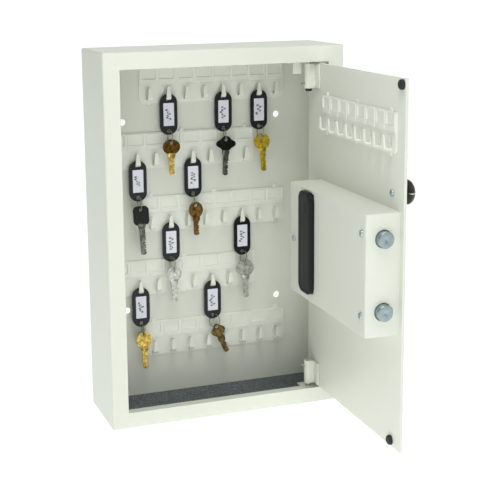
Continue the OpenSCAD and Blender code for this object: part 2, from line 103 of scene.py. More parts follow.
def new_finish(name):
    """An empty material, its node tree and the socket of its object coordinates."""
    finish = bpy.data.materials.new(name)
    finish.use_nodes = True
    finish.node_tree.nodes.clear()
    return finish, finish.node_tree, add(finish.node_tree, "TexCoord", {}).outputs["Object"]


bpy.context.scene.view_settings.view_transform = "Standard"
world = bpy.data.worlds.new("studio_room")
world.use_nodes = True
bpy.context.scene.world = world
tree = world.node_tree
tree.nodes.clear()
ray = add(tree, "TexCoord", {}).outputs["Generated"]
heading = add(tree, "SeparateXYZ", {"Vector": ray})
overhead = add(tree, "MapRange", {"Value": heading.outputs["Z"], "From Min": 0.25, "From Max": 0.8})
left = add(tree, "MapRange", {"Value": heading.outputs["X"], "From Min": 0.05, "From Max": -0.5})
front = add(tree, "MapRange", {"Value": heading.outputs["Y"], "From Min": -0.1, "From Max": -0.7})
sides = add(tree, "Math", {"operation": "MAXIMUM", 0: left.outputs[0], 1: front.outputs[0]})
dim = add(tree, "Math", {"operation": "MAXIMUM", 0: overhead.outputs[0], 1: sides.outputs[0]})
glow = add(tree, "Mix", {
    "data_type": "RGBA", "Factor": dim.outputs[0], 6: linear("#FFFFFF"), 7: linear("#8F9795"),
})
sky = add(tree, "Background", {"Color": glow.outputs[2], "Strength": 1.02})
add(tree, "OutputWorld", {"Surface": sky.outputs[0]})


def lamp(name, place, aim, size, power, colour):
    """A square soft light at a place, aimed at a point."""
    light = bpy.data.objects.new(name, bpy.data.lights.new(name, "AREA"))
    bpy.context.scene.collection.objects.link(light)
    light.data.size = size
    light.data.energy = power
    light.data.color = linear(colour)[:3]
    gaze = (Vector(aim) - Vector(place)).to_track_quat("-Z", "Y")
    light.matrix_world = Matrix.Translation(place) @ gaze.to_matrix().to_4x4()


lamp("front_softbox", (-0.45, -2.1, 0.8), (0, 0, 0), 1.2, 3.8, "#FFFEFC")
lamp("door_softbox", (-0.1, -0.6, 1.1), (0.14, -0.2, 0), 0.5, 5.7, "#FFFEFC")
lamp("low_softbox", (-0.3, -1.1, -0.1), (0.06, 0, -0.12), 0.6, 1.1, "#FFFEFC")
lamp("right_softbox", (1.2, -1.3, 1.4), (0, 0, 0), 0.9, 3, "#FFFEFC")

floor_white, tree, place = new_finish("studio_floor_paper")
grain = add(tree, "TexNoise", {"Vector": place, "Scale": 60.0})
bump = add(tree, "Bump", {"Height": grain.outputs[0], "Strength": 0.05, "Distance": 0.0005})
shader = add(tree, "BsdfPrincipled", {
    "Base Color": linear("#FBFBFA"), "Roughness": 0.9, "Normal": bump.outputs[0],
    "Emission Color": linear("#FFFFFF"), "Emission Strength": 0.7,
})
add(tree, "OutputMaterial", {"Surface": shader.outputs[0]})

bm = bmesh.new()
floor_seat = Matrix.Translation((0, 4, cad_low.z - 0.0005))
bmesh.ops.create_grid(bm, x_segments=1, y_segments=1, size=9, matrix=floor_seat)
mesh = bpy.data.meshes.new("studio_floor")
bm.to_mesh(mesh)
bm.free()
mesh.materials.append(floor_white)
studio_floor = bpy.data.objects.new("studio_floor", mesh)
bpy.context.scene.collection.objects.link(studio_floor)
studio_floor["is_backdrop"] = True

# ---- Cabinet shell ----
# The body of the cabinet, folded from 1.5 mm sheet steel: top, bottom, sides and a front frame whose edge
# turns back into a flange. The folds have a small radius, and the whole shell is powder coated in cream.

# Powder coat is baked polyester: satin, with the slight ripple called orange peel. Real ripples are 1-2 mm
# apart, and are drawn at 3 mm so that they show.
powder_coat, tree, place = new_finish("cream_powder_coat")
peel = add(tree, "TexNoise", {"Vector": place, "Scale": 1 / 0.003, "Detail": 2.0})
patch = add(tree, "TexNoise", {"Vector": place, "Scale": 1 / 0.12, "Detail": 2.0})
tone = add(tree, "Mix", {
    "data_type": "RGBA", "Factor": patch.outputs[0], 6: linear("#DDDFD4"), 7: linear("#E2E4DA"),
})
sheen = add(tree, "MapRange", {"Value": peel.outputs[0], "To Min": 0.36, "To Max": 0.48})
bump = add(tree, "Bump", {"Height": peel.outputs[0], "Strength": 0.12, "Distance": 0.0002})
shader = add(tree, "BsdfPrincipled", {
    "Base Color": tone.outputs[2], "Roughness": sheen.outputs[0], "Normal": bump.outputs[0], "IOR": 1.5,
})
add(tree, "OutputMaterial", {"Surface": shader.outputs[0]})

side_x, top_z, base_z, front_y = 150.0, 213.0, -237.0, -100.0
sheet_t = 1.5
frame_w = 20.0
hinge_x, hinge_y = 109.75, -86.57
swing = (
    Matrix.Translation((hinge_x, hinge_y, 0))
    @ Matrix.Rotation(math.radians(88.5), 4, "Z")
    @ Matrix.Translation((-hinge_x, -hinge_y, 0))
)


def block(bm, low, high, soft=0.0, steps=2):
    """A box between two corners, with its edges rounded by soft. Returns its vertices."""
    low, high = Vector(low), Vector(high)
    made = bmesh.ops.create_cube(
        bm, size=1, matrix=Matrix.Translation((low + high) / 2) @ Matrix.Diagonal((*(high - low), 1))
    )["verts"]
    if soft:
        edges = {e for v in made for e in v.link_edges}
        made = bmesh.ops.bevel(
            bm, geom=list(edges), offset=soft, segments=steps, profile=0.5, affect="EDGES", material=-1
        )["verts"]
    return made


def make(name, bm, body, finishes, stands_for=(), on_door=False, edge=0.0, wall=0.0, weld=0.001):
    """Makes one piece from a mesh drawn in millimetres, and fixes it to its body.

    edge is the radius that a modifier gives its sharp edges, and wall the thickness that one gives a sheet.
    """
    bmesh.ops.remove_doubles(bm, verts=bm.verts, dist=weld)
    if not wall:
        bmesh.ops.recalc_face_normals(bm, faces=bm.faces)
    bmesh.ops.transform(bm, matrix=swing if on_door else Matrix(), verts=bm.verts)
    bmesh.ops.scale(bm, vec=(0.001, 0.001, 0.001), verts=bm.verts)
    for face in bm.faces:
        face.smooth = True
    for line in bm.edges:
        line.smooth = len(line.link_faces) == 2 and line.calc_face_angle() < math.radians(32)
    mesh = bpy.data.meshes.new(name)
    bm.to_mesh(mesh)
    bm.free()
    for finish in finishes:
        mesh.materials.append(finish)
    piece = bpy.data.objects.new(name, mesh)
    bpy.context.scene.collection.objects.link(piece)
    if wall:
        gauge = piece.modifiers.new("sheet_gauge", "SOLIDIFY")
        gauge.thickness, gauge.offset, gauge.use_even_offset = wall / 1000, -1, True
    if edge:
        soften = piece.modifiers.new("soft_edges", "BEVEL")
        soften.width, soften.segments, soften.limit_method = edge / 1000, 2, "ANGLE"
        soften.angle_limit, soften.harden_normals = math.radians(32), True
    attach(piece, body)
    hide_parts(*stands_for)
    return piece


bm = bmesh.new()
block(bm, (-side_x, front_y, base_z), (side_x, 0, top_z))
rear = [f for f in bm.faces if f.normal.y > 0.5]
bmesh.ops.delete(bm, geom=rear, context="FACES_ONLY")
folds = [e for e in bm.edges if len(e.link_faces) == 2]
bmesh.ops.bevel(bm, geom=folds, offset=2.2, segments=4, profile=0.5, affect="EDGES", material=-1)
front_faces = [f for f in bm.faces if f.normal.y < -0.99]
bmesh.ops.inset_region(bm, faces=front_faces, thickness=frame_w - 2.2, use_even_offset=True)
rim = list(front_faces[0].edges)
bmesh.ops.delete(bm, geom=front_faces, context="FACES_ONLY")
# The edge of the opening first turns through a small radius, and then runs back as the flange
turned_back = bmesh.ops.extrude_edge_only(bm, edges=rim)["geom"]
lip = [v for v in turned_back if isinstance(v, bmesh.types.BMVert)]
bmesh.ops.translate(bm, verts=lip, vec=(0, 10.5 + sheet_t, 0))
flange_end = hinge_x - 7
bmesh.ops.bisect_plane(
    bm, geom=bm.verts[:] + bm.edges[:] + bm.faces[:], plane_co=(flange_end, 0, 0), plane_no=(1, 0, 0)
)


def cut_away(face):
    """Whether a face is the part of the flange that is left out beside the hinge."""
    x, y, z = face.calc_center_median()
    return flange_end < x < 131 and -95 < y < -92 and -218 < z < 194 and abs(face.normal.y) < 0.1


bmesh.ops.delete(bm, geom=[f for f in bm.faces if cut_away(f)], context="FACES")
make(
    "cabinet_skin", bm, "root", [powder_coat], ["cabinet_shell"], edge=0.35, wall=sheet_t
)

# Two pivot plates are spot welded behind the frame for the hinge pins, with a small stop at the upper one.


def round_plate(bm, middle, width, height, radius, depth, steps=6):
    """A plate across Y with round corners; middle is the middle of its front face, depth its thickness."""
    x, y, z = middle
    made = block(bm, (x - width / 2, y, z - height / 2), (x + width / 2, y + depth, z + height / 2))
    corners = {e for v in made for e in v.link_edges if abs((e.verts[0].co - e.verts[1].co).y) > depth / 2}
    return bmesh.ops.bevel(
        bm, geom=list(corners), offset=radius, segments=steps, profile=0.5, affect="EDGES", material=-1
    )


def join(bm, other):
    """Adds another bmesh to bm, and frees it."""
    spare = bpy.data.meshes.new("spare")
    other.to_mesh(spare)
    other.free()
    bm.from_mesh(spare)
    bpy.data.meshes.remove(spare)


def cut_openings(bm, across, holes, cuts=3):
    """Cuts openings in flat walls that lie across X (0) or Y (1).

    Each hole is (middle, width, height, taper): round or oval, narrower at its top by taper, or square
    where taper is None.
    """
    along = 1 - across
    for middle, width, height, _ in holes:
        for axis, half in ((along, width / 2), (2, height / 2)):
            for side in (-half, half):
                spot, normal = Vector(middle), Vector((0, 0, 0))
                spot[axis] += side
                normal[axis] = 1
                bmesh.ops.bisect_plane(
                    bm, geom=bm.verts[:] + bm.edges[:] + bm.faces[:], plane_co=spot, plane_no=normal, dist=1e-3
                )
    for middle, width, height, taper in holes:
        middle = Vector(middle)

        def inside(face):
            off = face.calc_center_median() - middle
            return abs(off[along]) < width / 2 and abs(off.z) < height / 2 and abs(off[across]) < 0.05

        cell = [f for f in bm.faces if inside(f)]
        border = [e for f in cell for e in f.edges if sum(g in cell for g in e.link_faces) == 1]
        if taper is not None:
            bmesh.ops.subdivide_edges(bm, edges=list(set(border)), cuts=cuts)
            cell = [f for f in bm.faces if inside(f)]
            border = {e for f in cell for e in f.edges if sum(g in cell for g in e.link_faces) == 1}
            for v in {v for e in border for v in e.verts}:
                off = v.co - middle
                angle = math.atan2(off.z / height, off[along] / width)
                v.co[along] = middle[along] + width / 2 * math.cos(angle) * (1 - taper * math.sin(angle))
                v.co.z = middle.z + height / 2 * math.sin(angle)
        bmesh.ops.delete(bm, geom=cell, context="FACES")


bm = bmesh.new()
for z in (193.5, -219.5):
    seat = Matrix.Translation((hinge_x, hinge_y, z)) @ Matrix.Rotation(math.radians(-90), 4, "X")
    plate = bmesh.new()
    block(plate, (-10, 0, -8), (14, 0.01, 11.93))
    bmesh.ops.delete(plate, geom=[f for f in plate.faces if f.normal.y > -0.5], context="FACES")
    cut_openings(plate, 1, [((0, 0, 0), 6.1, 6.1, 0.0)], cuts=5)
    bmesh.ops.solidify(plate, geom=plate.faces[:], thickness=2)
    bmesh.ops.recalc_face_normals(plate, faces=plate.faces)
    bmesh.ops.transform(plate, matrix=seat, verts=plate.verts)
    low = min(v.co.z for v in plate.verts)
    bmesh.ops.translate(plate, verts=plate.verts, vec=(0, 0, z - low))
    join(bm, plate)
block(bm, (flange_end - 14, -88, 178.5), (flange_end - 3, -86.5, 193), soft=0.5)
make("pivot_plates", bm, "root", [powder_coat], edge=0.3)

# ---- Back panel ----
# A plain sheet set in the back of the shell and coated with it. Its four holes take the wall screws.
nodes["back_panel"].data.materials.clear()
nodes["back_panel"].data.materials.append(powder_coat)

# ---- Floor mat ----
# A loose mat of needled felt, 2.8 mm thick and cut to the floor. It stops dropped keys from scratching the
# coat.

# Grey-blue wool and polyester shoddy: dull, with pale and dark fibres mixed through it. Fibre flecks of 1-2
# mm.
felt, tree, place = new_finish("flecked_needle_felt")
fleck = add(tree, "TexNoise", {"Vector": place, "Scale": 1 / 0.0016, "Detail": 4.0, "Roughness": 0.7})
cloud = add(tree, "TexNoise", {"Vector": place, "Scale": 1 / 0.02, "Detail": 3.0})
mixed = add(tree, "ValToRGB", {"Fac": fleck.outputs[0]})
for step, (at, tone) in enumerate([(0.36, "#1B2126"), (0.5, "#3E464D"), (0.62, "#8B949A")]):
    stop = mixed.color_ramp.elements[step] if step < 2 else mixed.color_ramp.elements.new(at)
    stop.position, stop.color = at, linear(tone)
shade = add(tree, "Mix", {
    "data_type": "RGBA", "blend_type": "MULTIPLY", "Factor": cloud.outputs[0],
    6: mixed.outputs[0], 7: linear("#B4BCC4"),
})
bump = add(tree, "Bump", {"Height": fleck.outputs[0], "Strength": 0.8, "Distance": 0.0008})
shader = add(tree, "BsdfPrincipled", {
    "Base Color": shade.outputs[2], "Roughness": 0.95, "Normal": bump.outputs[0],
    "Sheen Weight": 0.3, "Sheen Roughness": 0.5,
})
add(tree, "OutputMaterial", {"Surface": shader.outputs[0]})

mat_z = base_z + sheet_t
mat_t = 2.8
bm = bmesh.new()
block(bm, (-147.5, -97.5, mat_z), (147.5, -2, mat_z + mat_t), soft=0.9, steps=2)
top = [f for f in bm.faces if f.normal.z > 0.9]
edges = {e for f in top for e in f.edges}
bmesh.ops.subdivide_edges(bm, edges=list(edges), cuts=40, use_grid_fill=True)
for v in bm.verts:
    if v.co.z > mat_z + mat_t / 2 and abs(v.co.x) < 146 and -96.5 < v.co.y < -3:
        wave = math.sin(v.co.x * 0.11) * math.cos(v.co.y * 0.17 + v.co.x * 0.05)
        v.co.z += 0.12 * wave - 0.12
make("felt_mat", bm, "root", [felt], ["floor_mat"])

# ---- Key racks ----
# Strips of eight hooks moulded in one piece with a band of label windows. Each hook is cored out of the
# plate, so there is a slot behind it, and its tongue widens to a round crook. Tabs at the top and bottom
# clip it on.

# Moulded cream ABS: satin, slightly translucent and without ripple, a shade greener than the coat.
rack_abs, tree, place = new_finish("moulded_cream_abs")
flow = add(tree, "TexNoise", {"Vector": place, "Scale": 1 / 0.03, "Detail": 1.0})
spark = add(tree, "TexNoise", {"Vector": place, "Scale": 1 / 0.0012, "Detail": 1.0})
tone = add(tree, "Mix", {
    "data_type": "RGBA", "Factor": flow.outputs[0], 6: linear("#E9EBE1"), 7: linear("#EEEFE7"),
})
bump = add(tree, "Bump", {"Height": spark.outputs[0], "Strength": 0.08, "Distance": 0.0001})
shader = add(tree, "BsdfPrincipled", {
    "Base Color": tone.outputs[2], "Roughness": 0.33, "Normal": bump.outputs[0], "IOR": 1.53,
    "Subsurface Weight": 0.06, "Subsurface Radius": (0.002, 0.002, 0.0015),
})
add(tree, "OutputMaterial", {"Surface": shader.outputs[0]})

rack_w, rack_h, ledge_z = 192.0, 45.0, 22.7
hook_pitch = 24.0
plate_t = 1.6


def pull(bm, face, shift, grow=(1, 1, 1)):
    """Extrudes a face, shifts it and scales it about its own middle. Returns the new face."""
    made = bmesh.ops.extrude_face_region(bm, geom=[face])["geom"]
    verts = [v for v in made if isinstance(v, bmesh.types.BMVert)]
    bmesh.ops.translate(bm, verts=verts, vec=shift)
    new_face = [f for f in made if isinstance(f, bmesh.types.BMFace)][0]
    middle = new_face.calc_center_median()
    bmesh.ops.scale(bm, vec=grow, verts=verts, space=Matrix.Translation(-middle))
    return new_face


def hook(bm, x):
    """One hook: out of the plate, round the crook and up, narrowing to a round tip."""
    upright = Matrix.Rotation(math.pi / 2, 4, "X")
    start = bmesh.ops.create_grid(
        bm, x_segments=1, y_segments=1, size=0.5,
        matrix=Matrix.Translation((x, -0.6, 5)) @ upright @ Matrix.Diagonal((6.2, 2, 1, 1)),
    )["verts"]
    face = start[0].link_faces[0]
    if face.normal.y > 0:
        bmesh.ops.reverse_faces(bm, faces=[face])
    face = pull(bm, face, (0, -6.4, 0))
    ring = bmesh.ops.spin(
        bm, geom=[face, *face.edges, *face.verts], cent=(x, -7, 8.2), axis=(1, 0, 0), angle=math.radians(-90),
        steps=4, use_duplicate=False,
    )["geom_last"]
    face = [f for f in ring if isinstance(f, bmesh.types.BMFace)][0]
    face = pull(bm, face, (0, 0.1, 3.2), (0.86, 0.9, 1))
    face = pull(bm, face, (0, 0, 5.0), (0.76, 0.85, 1))
    face = pull(bm, face, (0, -0.1, 3.0), (0.86, 0.9, 1))
    face = pull(bm, face, (0, 0, 0.9), (0.55, 0.8, 1))


def rack(name, node, body, seat, on_door=False):
    """A whole rack. seat places its bottom middle at the back."""
    bm = bmesh.new()
    upright = Matrix.Rotation(math.pi / 2, 4, "X")
    plate = bmesh.ops.create_grid(
        bm, x_segments=1, y_segments=1, size=0.5,
        matrix=Matrix.Translation((0, -plate_t, ledge_z / 2)) @ upright
        @ Matrix.Diagonal((rack_w, ledge_z, 1, 1)),
    )["verts"]
    feet = [v for v in plate if v.co.z < 1]
    bmesh.ops.bevel(bm, geom=feet, offset=7, segments=5, profile=0.5, affect="VERTICES", material=-1)
    hooks = [(i - 3.5) * hook_pitch for i in range(8)]
    cut_openings(bm, 1, [((x, -plate_t, 13.2), 7.4, 14.4, 0.16) for x in hooks])
    solid = bmesh.ops.extrude_face_region(bm, geom=bm.faces[:], use_keep_orig=True)["geom"]
    back = [v for v in solid if isinstance(v, bmesh.types.BMVert)]
    bmesh.ops.translate(bm, verts=back, vec=(0, plate_t, 0))
    band = bmesh.ops.create_grid(
        bm, x_segments=8, y_segments=1, size=0.5,
        matrix=Matrix.Translation((0, -2.2, (ledge_z + rack_h) / 2)) @ upright
        @ Matrix.Diagonal((rack_w, rack_h - ledge_z, 1, 1)),
    )["verts"]
    cells = list({f for v in band for f in v.link_faces})
    for f in cells:
        if f.normal.y > 0:
            bmesh.ops.reverse_faces(bm, faces=[f])
    outline = [e for e in {e for f in cells for e in f.edges} if len(e.link_faces) == 1]
    sides = bmesh.ops.extrude_edge_only(bm, edges=outline)["geom"]
    bmesh.ops.translate(bm, verts=[v for v in sides if isinstance(v, bmesh.types.BMVert)], vec=(0, 2.2, 0))
    bmesh.ops.inset_individual(bm, faces=cells, thickness=1.1, use_even_offset=True)
    bmesh.ops.inset_individual(bm, faces=cells, thickness=0.25, depth=0.6, use_even_offset=True)
    bmesh.ops.inset_individual(bm, faces=cells, thickness=1.3, use_even_offset=True)
    for f in cells:
        # The window sits high in its frame, with a deeper sill below it
        low = [v for v in f.verts if v.co.z < f.calc_center_median().z]
        bmesh.ops.translate(bm, verts=low, vec=(0, 0, 4.6))
    bmesh.ops.inset_individual(bm, faces=cells, thickness=0.3, depth=-1.2, use_even_offset=True)
    for x in hooks:
        hook(bm, x)
    for x in (-84, 0, 84):
        block(bm, (x - 2.5, -plate_t, rack_h - 1), (x + 2.5, -0.1, rack_h + 4), soft=0.5)
        block(bm, (x - 2.5, -plate_t - 0.4, -2), (x + 2.5, -0.1, 1.5), soft=0.5)
    bmesh.ops.transform(bm, matrix=seat, verts=bm.verts)
    return make(name, bm, body, [rack_abs], [node], on_door=on_door, edge=0.3)


for row in range(1, 6):
    seat = Matrix.Translation((15.5 if row % 2 else -26, -sheet_t, -182 + (5 - row) * 81))
    rack(f"hook_rack_{row}", f"key_rack_{row}", "root", seat)
door_in_y, door_out_y = -94.9, -98.4
rack(
    "hook_rack_door", "door_key_rack", "door",
    Matrix.Translation((-14, door_in_y, 110)) @ Matrix.Rotation(math.pi, 4, "Z"), on_door=True,
)

# ---- Door ----
# A plate of 3.5 mm steel with ground edges, powder coated like the cabinet. A post is welded to its inside,
# and two brackets that reach round the bolts, for the lock housing's screws.
bm = bmesh.new()
block(bm, (-128, door_out_y, -215.5), (129, door_in_y, 191.5), soft=0.7, steps=3)
round_plate(bm, (78.5, door_in_y, -16.5), 8, 8, 3.9, 38, steps=5)
for low, high in ((37, 39), (-71, -69)):
    block(bm, (-115, door_in_y, low), (-106, door_in_y + 38.1, high), soft=0.4)
for low, high in ((24.5, 39), (-71, -56.5)):
    block(bm, (-115, door_in_y + 30.2, low), (-106, door_in_y + 38.1, high), soft=0.4)
make("door_plate", bm, "door", [powder_coat], ["door_panel"], on_door=True)

# ---- Bumpers ----
# Two rubber buttons pushed into the door near its free edge, which soften its closing.

# Black natural rubber, moulded: matt, a little dusty.
rubber, tree, place = new_finish("black_rubber")
dust = add(tree, "TexNoise", {"Vector": place, "Scale": 1 / 0.004, "Detail": 3.0})
tone = add(tree, "Mix", {
    "data_type": "RGBA", "Factor": dust.outputs[0], 6: linear("#131416"), 7: linear("#24262A"),
})
bump = add(tree, "Bump", {"Height": dust.outputs[0], "Strength": 0.15, "Distance": 0.0002})
shader = add(tree, "BsdfPrincipled", {
    "Base Color": tone.outputs[2], "Roughness": 0.62, "Normal": bump.outputs[0],
})
add(tree, "OutputMaterial", {"Surface": shader.outputs[0]})


def turned_part(outline, seat, steps=32):
    """A bmesh with one part in it, an outline of (radius, height) points turned about the Z axis of seat."""
    bm = bmesh.new()
    line = [bm.verts.new((r, 0, h)) for r, h in outline]
    edges = [bm.edges.new(pair) for pair in zip(line, line[1:])]
    bmesh.ops.spin(
        bm, geom=line + edges, cent=(0, 0, 0), axis=(0, 0, 1), angle=math.tau, steps=steps, use_merge=True
    )
    bmesh.ops.remove_doubles(bm, verts=bm.verts, dist=0.002)
    bmesh.ops.transform(bm, matrix=seat, verts=bm.verts)
    return bm


inward = Matrix.Rotation(-math.pi / 2, 4, "X")  # local Z along +Y, into the cabinet when the door is shut
outward = Matrix.Rotation(math.pi / 2, 4, "X")  # local Z along -Y
bm = bmesh.new()
for x, z in ((-121, 185), (-106, -208)):
    outline = [(0, 0), (5.5, 0), (5.5, 2), (5.2, 3.0), (4.5, 3.7), (3.4, 4), (2.2, 4), (1.8, 3.7), (0, 3.6)]
    join(bm, turned_part(outline, Matrix.Translation((x, door_in_y, z)) @ inward, 28))
make("rubber_bumpers", bm, "door", [rubber], ["door_bumpers"], on_door=True)

# ---- Knob ----
# A turned pull on the outside of the door, dark bronze lacquer with a bright line where the two halves meet.

# Bronze lacquer over brass: glossy and nearly black, with brown showing in the light.
knob_lacquer, tree, place = new_finish("dark_bronze_lacquer")
shift = add(tree, "TexNoise", {"Vector": place, "Scale": 1 / 0.006, "Detail": 2.0})
tone = add(tree, "Mix", {
    "data_type": "RGBA", "Factor": shift.outputs[0], 6: linear("#15100D"), 7: linear("#2C2019"),
})
bump = add(tree, "Bump", {"Height": shift.outputs[0], "Strength": 0.05, "Distance": 0.0002})
shader = add(tree, "BsdfPrincipled", {
    "Base Color": tone.outputs[2], "Roughness": 0.3, "Normal": bump.outputs[0], "Coat Weight": 0.2,
})
add(tree, "OutputMaterial", {"Surface": shader.outputs[0]})

# Nickel plate on steel: bright, slightly warm, with faint handling marks.
nickel, tree, place = new_finish("nickel_plate")
marks = add(tree, "TexNoise", {"Vector": place, "Scale": 1 / 0.002, "Detail": 4.0})
gloss = add(tree, "MapRange", {"Value": marks.outputs[0], "To Min": 0.16, "To Max": 0.36})
bump = add(tree, "Bump", {"Height": marks.outputs[0], "Strength": 0.06, "Distance": 0.0001})
shader = add(tree, "BsdfPrincipled", {
    "Base Color": linear("#BFC0BA"), "Metallic": 1.0, "Roughness": gloss.outputs[0],
    "Normal": bump.outputs[0],
})
add(tree, "OutputMaterial", {"Surface": shader.outputs[0]})

knob_x, knob_z = -101.3, 68
knob_seat = Matrix.Translation((knob_x, door_out_y, knob_z)) @ outward
bm = turned_part([
    (0, 0), (8.5, 0), (8.5, 0.8), (7.4, 1.8), (6.5, 3.2), (6.4, 5), (6.7, 7.6), (8, 9.6), (10.6, 10.8),
    (12.8, 11.8), (13.6, 12.8), (13.7, 13.8), (13.2, 15.2), (12.1, 16.8), (10.2, 18.4), (7.4, 19.6),
    (3.8, 20.3), (0, 20.5),
], knob_seat, 48)
make("pull_knob_body", bm, "door", [knob_lacquer], ["pull_knob"], on_door=True)

# The bright line is an inlay that follows the dome from one side to the other
bm = bmesh.new()
dome_line = [
    (9.4, 10.1), (10.7, 10.6), (12.95, 11.65), (13.7, 12.7), (13.8, 13.8), (13.3, 15.3), (12.2, 16.9),
    (10.3, 18.5), (7.5, 19.7), (3.9, 20.4), (0, 20.6),
]
rim = dome_line + [(-x, y) for x, y in reversed(dome_line[:-1])]
strip = [bm.verts.new((knob_x + x, door_out_y - y, knob_z - 0.6)) for x, y in rim]
strip += [
    bm.verts.new((knob_x + x * 0.85, door_out_y - 12 - (y - 12) * 0.8, knob_z - 0.6)) for x, y in reversed(rim)
]
inlay = bmesh.ops.extrude_face_region(bm, geom=[bm.faces.new(strip)])["geom"]
bmesh.ops.translate(bm, verts=[v for v in inlay if isinstance(v, bmesh.types.BMVert)], vec=(0, 0, 1.2))
bmesh.ops.recalc_face_normals(bm, faces=bm.faces)
make("knob_index_line", bm, "door", [nickel], on_door=True)

# ---- Hinges ----
# Each hinge is a tube welded to the door by a leaf, with a spring-loaded pin in it that a small lever draws
# back.

tube_r = 5.0
upper_z = 160.5
lower_z = -184.5
for name, z, flip in (("upper", upper_z, 1), ("lower", lower_z, -1)):
    seat = Matrix.Translation((hinge_x, hinge_y, z)) @ Matrix.Diagonal((1, 1, flip, 1))
    bm = bmesh.new()
    wall = [
        (3.05, 0.3), (3.3, 0), (5.1, 0), (5.35, 0.4), (5.35, 1.6), (5, 2.0), (5, 29.6), (4.7, 30), (3.3, 30),
        (3.05, 29.7), (3.05, 0.3),
    ]
    join(bm, turned_part(wall, Matrix(), 40))
    # The weld fills the corner between tube and door, in three short beads
    block(bm, (-tube_r, -8.32, 0.5), (-tube_r + 3.4, -1, 29.5), soft=0.8)
    block(bm, (-tube_r - 12, -8.32, 0.5), (-tube_r + 2, -6.3, 29.5), soft=0.7)
    for bead in (4, 15, 26):
        block(bm, (-tube_r - 1.2, -6.9, bead - 2.6), (-tube_r + 1.6, -4.6, bead + 2.6), soft=1.1, steps=3)
    bmesh.ops.transform(bm, matrix=seat, verts=bm.verts)
    make(
        f"{name}_hinge_barrel", bm, "door", [powder_coat], [f"{name}_hinge_tube"], on_door=True
    )

# Drawn steel, oiled: grey and fairly bright, with fine lines along it.
pin_steel, tree, place = new_finish("drawn_steel")
lines = add(tree, "TexNoise", {"Vector": place, "Scale": 1 / 0.0015, "Detail": 2.0})
gloss = add(tree, "MapRange", {"Value": lines.outputs[0], "To Min": 0.25, "To Max": 0.42})
shader = add(tree, "BsdfPrincipled", {
    "Base Color": linear("#B4B7B8"), "Metallic": 1.0, "Roughness": gloss.outputs[0],
})
add(tree, "OutputMaterial", {"Surface": shader.outputs[0]})
for name in ("upper_hinge_pin", "lower_hinge_pin", "upper_hinge_spring", "lower_hinge_spring"):
    nodes[name].data.materials.clear()
    nodes[name].data.materials.append(pin_steel)

cap = turned_part(
    [(0, -0.3), (3.6, -0.3), (3.9, 0), (3.9, 2.6), (3.5, 3.0), (0, 3.0)],
    Matrix.Translation((hinge_x, hinge_y, upper_z - 3.05)), 24,
)
make("upper_pin_cap", cap, "upper_pin", [rubber], on_door=True)

# ---- Lock housing ----
# A cover folded from 1.2 mm steel and coated like the door, screwed to the three posts. It has an opening
# for the batteries in its face and two round holes in its end for the bolts.
house_x0, house_x1, house_z0, house_z1 = -120.5, 91.5, -83.5, 51.0
house_y = door_in_y + 39.4
bolt_y = door_in_y + 18.8
bolt_zs = (23.5, -56.0)
house_screws = ((-110.5, 29), (-110.5, -61), (78.5, -16.5))
cell_x, cell_z = 35.2, -12.4

bm = bmesh.new()
block(bm, (house_x0, door_in_y, house_z0), (house_x1, house_y, house_z1))
bmesh.ops.delete(bm, geom=[f for f in bm.faces if f.normal.y < -0.5], context="FACES_ONLY")
folds = [e for e in bm.edges if len(e.link_faces) == 2]
bmesh.ops.bevel(bm, geom=folds, offset=1.3, segments=3, profile=0.5, affect="EDGES", material=-1)
cut_openings(bm, 0, [((house_x0, bolt_y, z), 20, 20, 0.0) for z in bolt_zs], cuts=7)
cut_openings(bm, 1, [((x, house_y, z), 4.4, 4.4, 0.0) for x, z in house_screws], cuts=3)
cut_openings(bm, 1, [((cell_x, house_y, cell_z), 33, 119, None)])
make(
    "lock_cover_box", bm, "door", [powder_coat], ["lock_housing"], on_door=True, edge=0.25,
    wall=1.2,
)

# ---- Screws ----
# Zinc-plated pan head screws with a cross recess: three in the housing, one that holds the knob.

# Zinc plate, blue passivated: bright grey with a cold cast and a fine cloudiness.
zinc, tree, place = new_finish("blue_zinc_plate")
cloud = add(tree, "TexNoise", {"Vector": place, "Scale": 1 / 0.003, "Detail": 4.0})
tone = add(tree, "Mix", {
    "data_type": "RGBA", "Factor": cloud.outputs[0], 6: linear("#A7B3B7"), 7: linear("#C3CCCE"),
})
gloss = add(tree, "MapRange", {"Value": cloud.outputs[0], "To Min": 0.22, "To Max": 0.4})
shader = add(tree, "BsdfPrincipled", {
    "Base Color": tone.outputs[2], "Metallic": 1.0, "Roughness": gloss.outputs[0],
})
add(tree, "OutputMaterial", {"Surface": shader.outputs[0]})


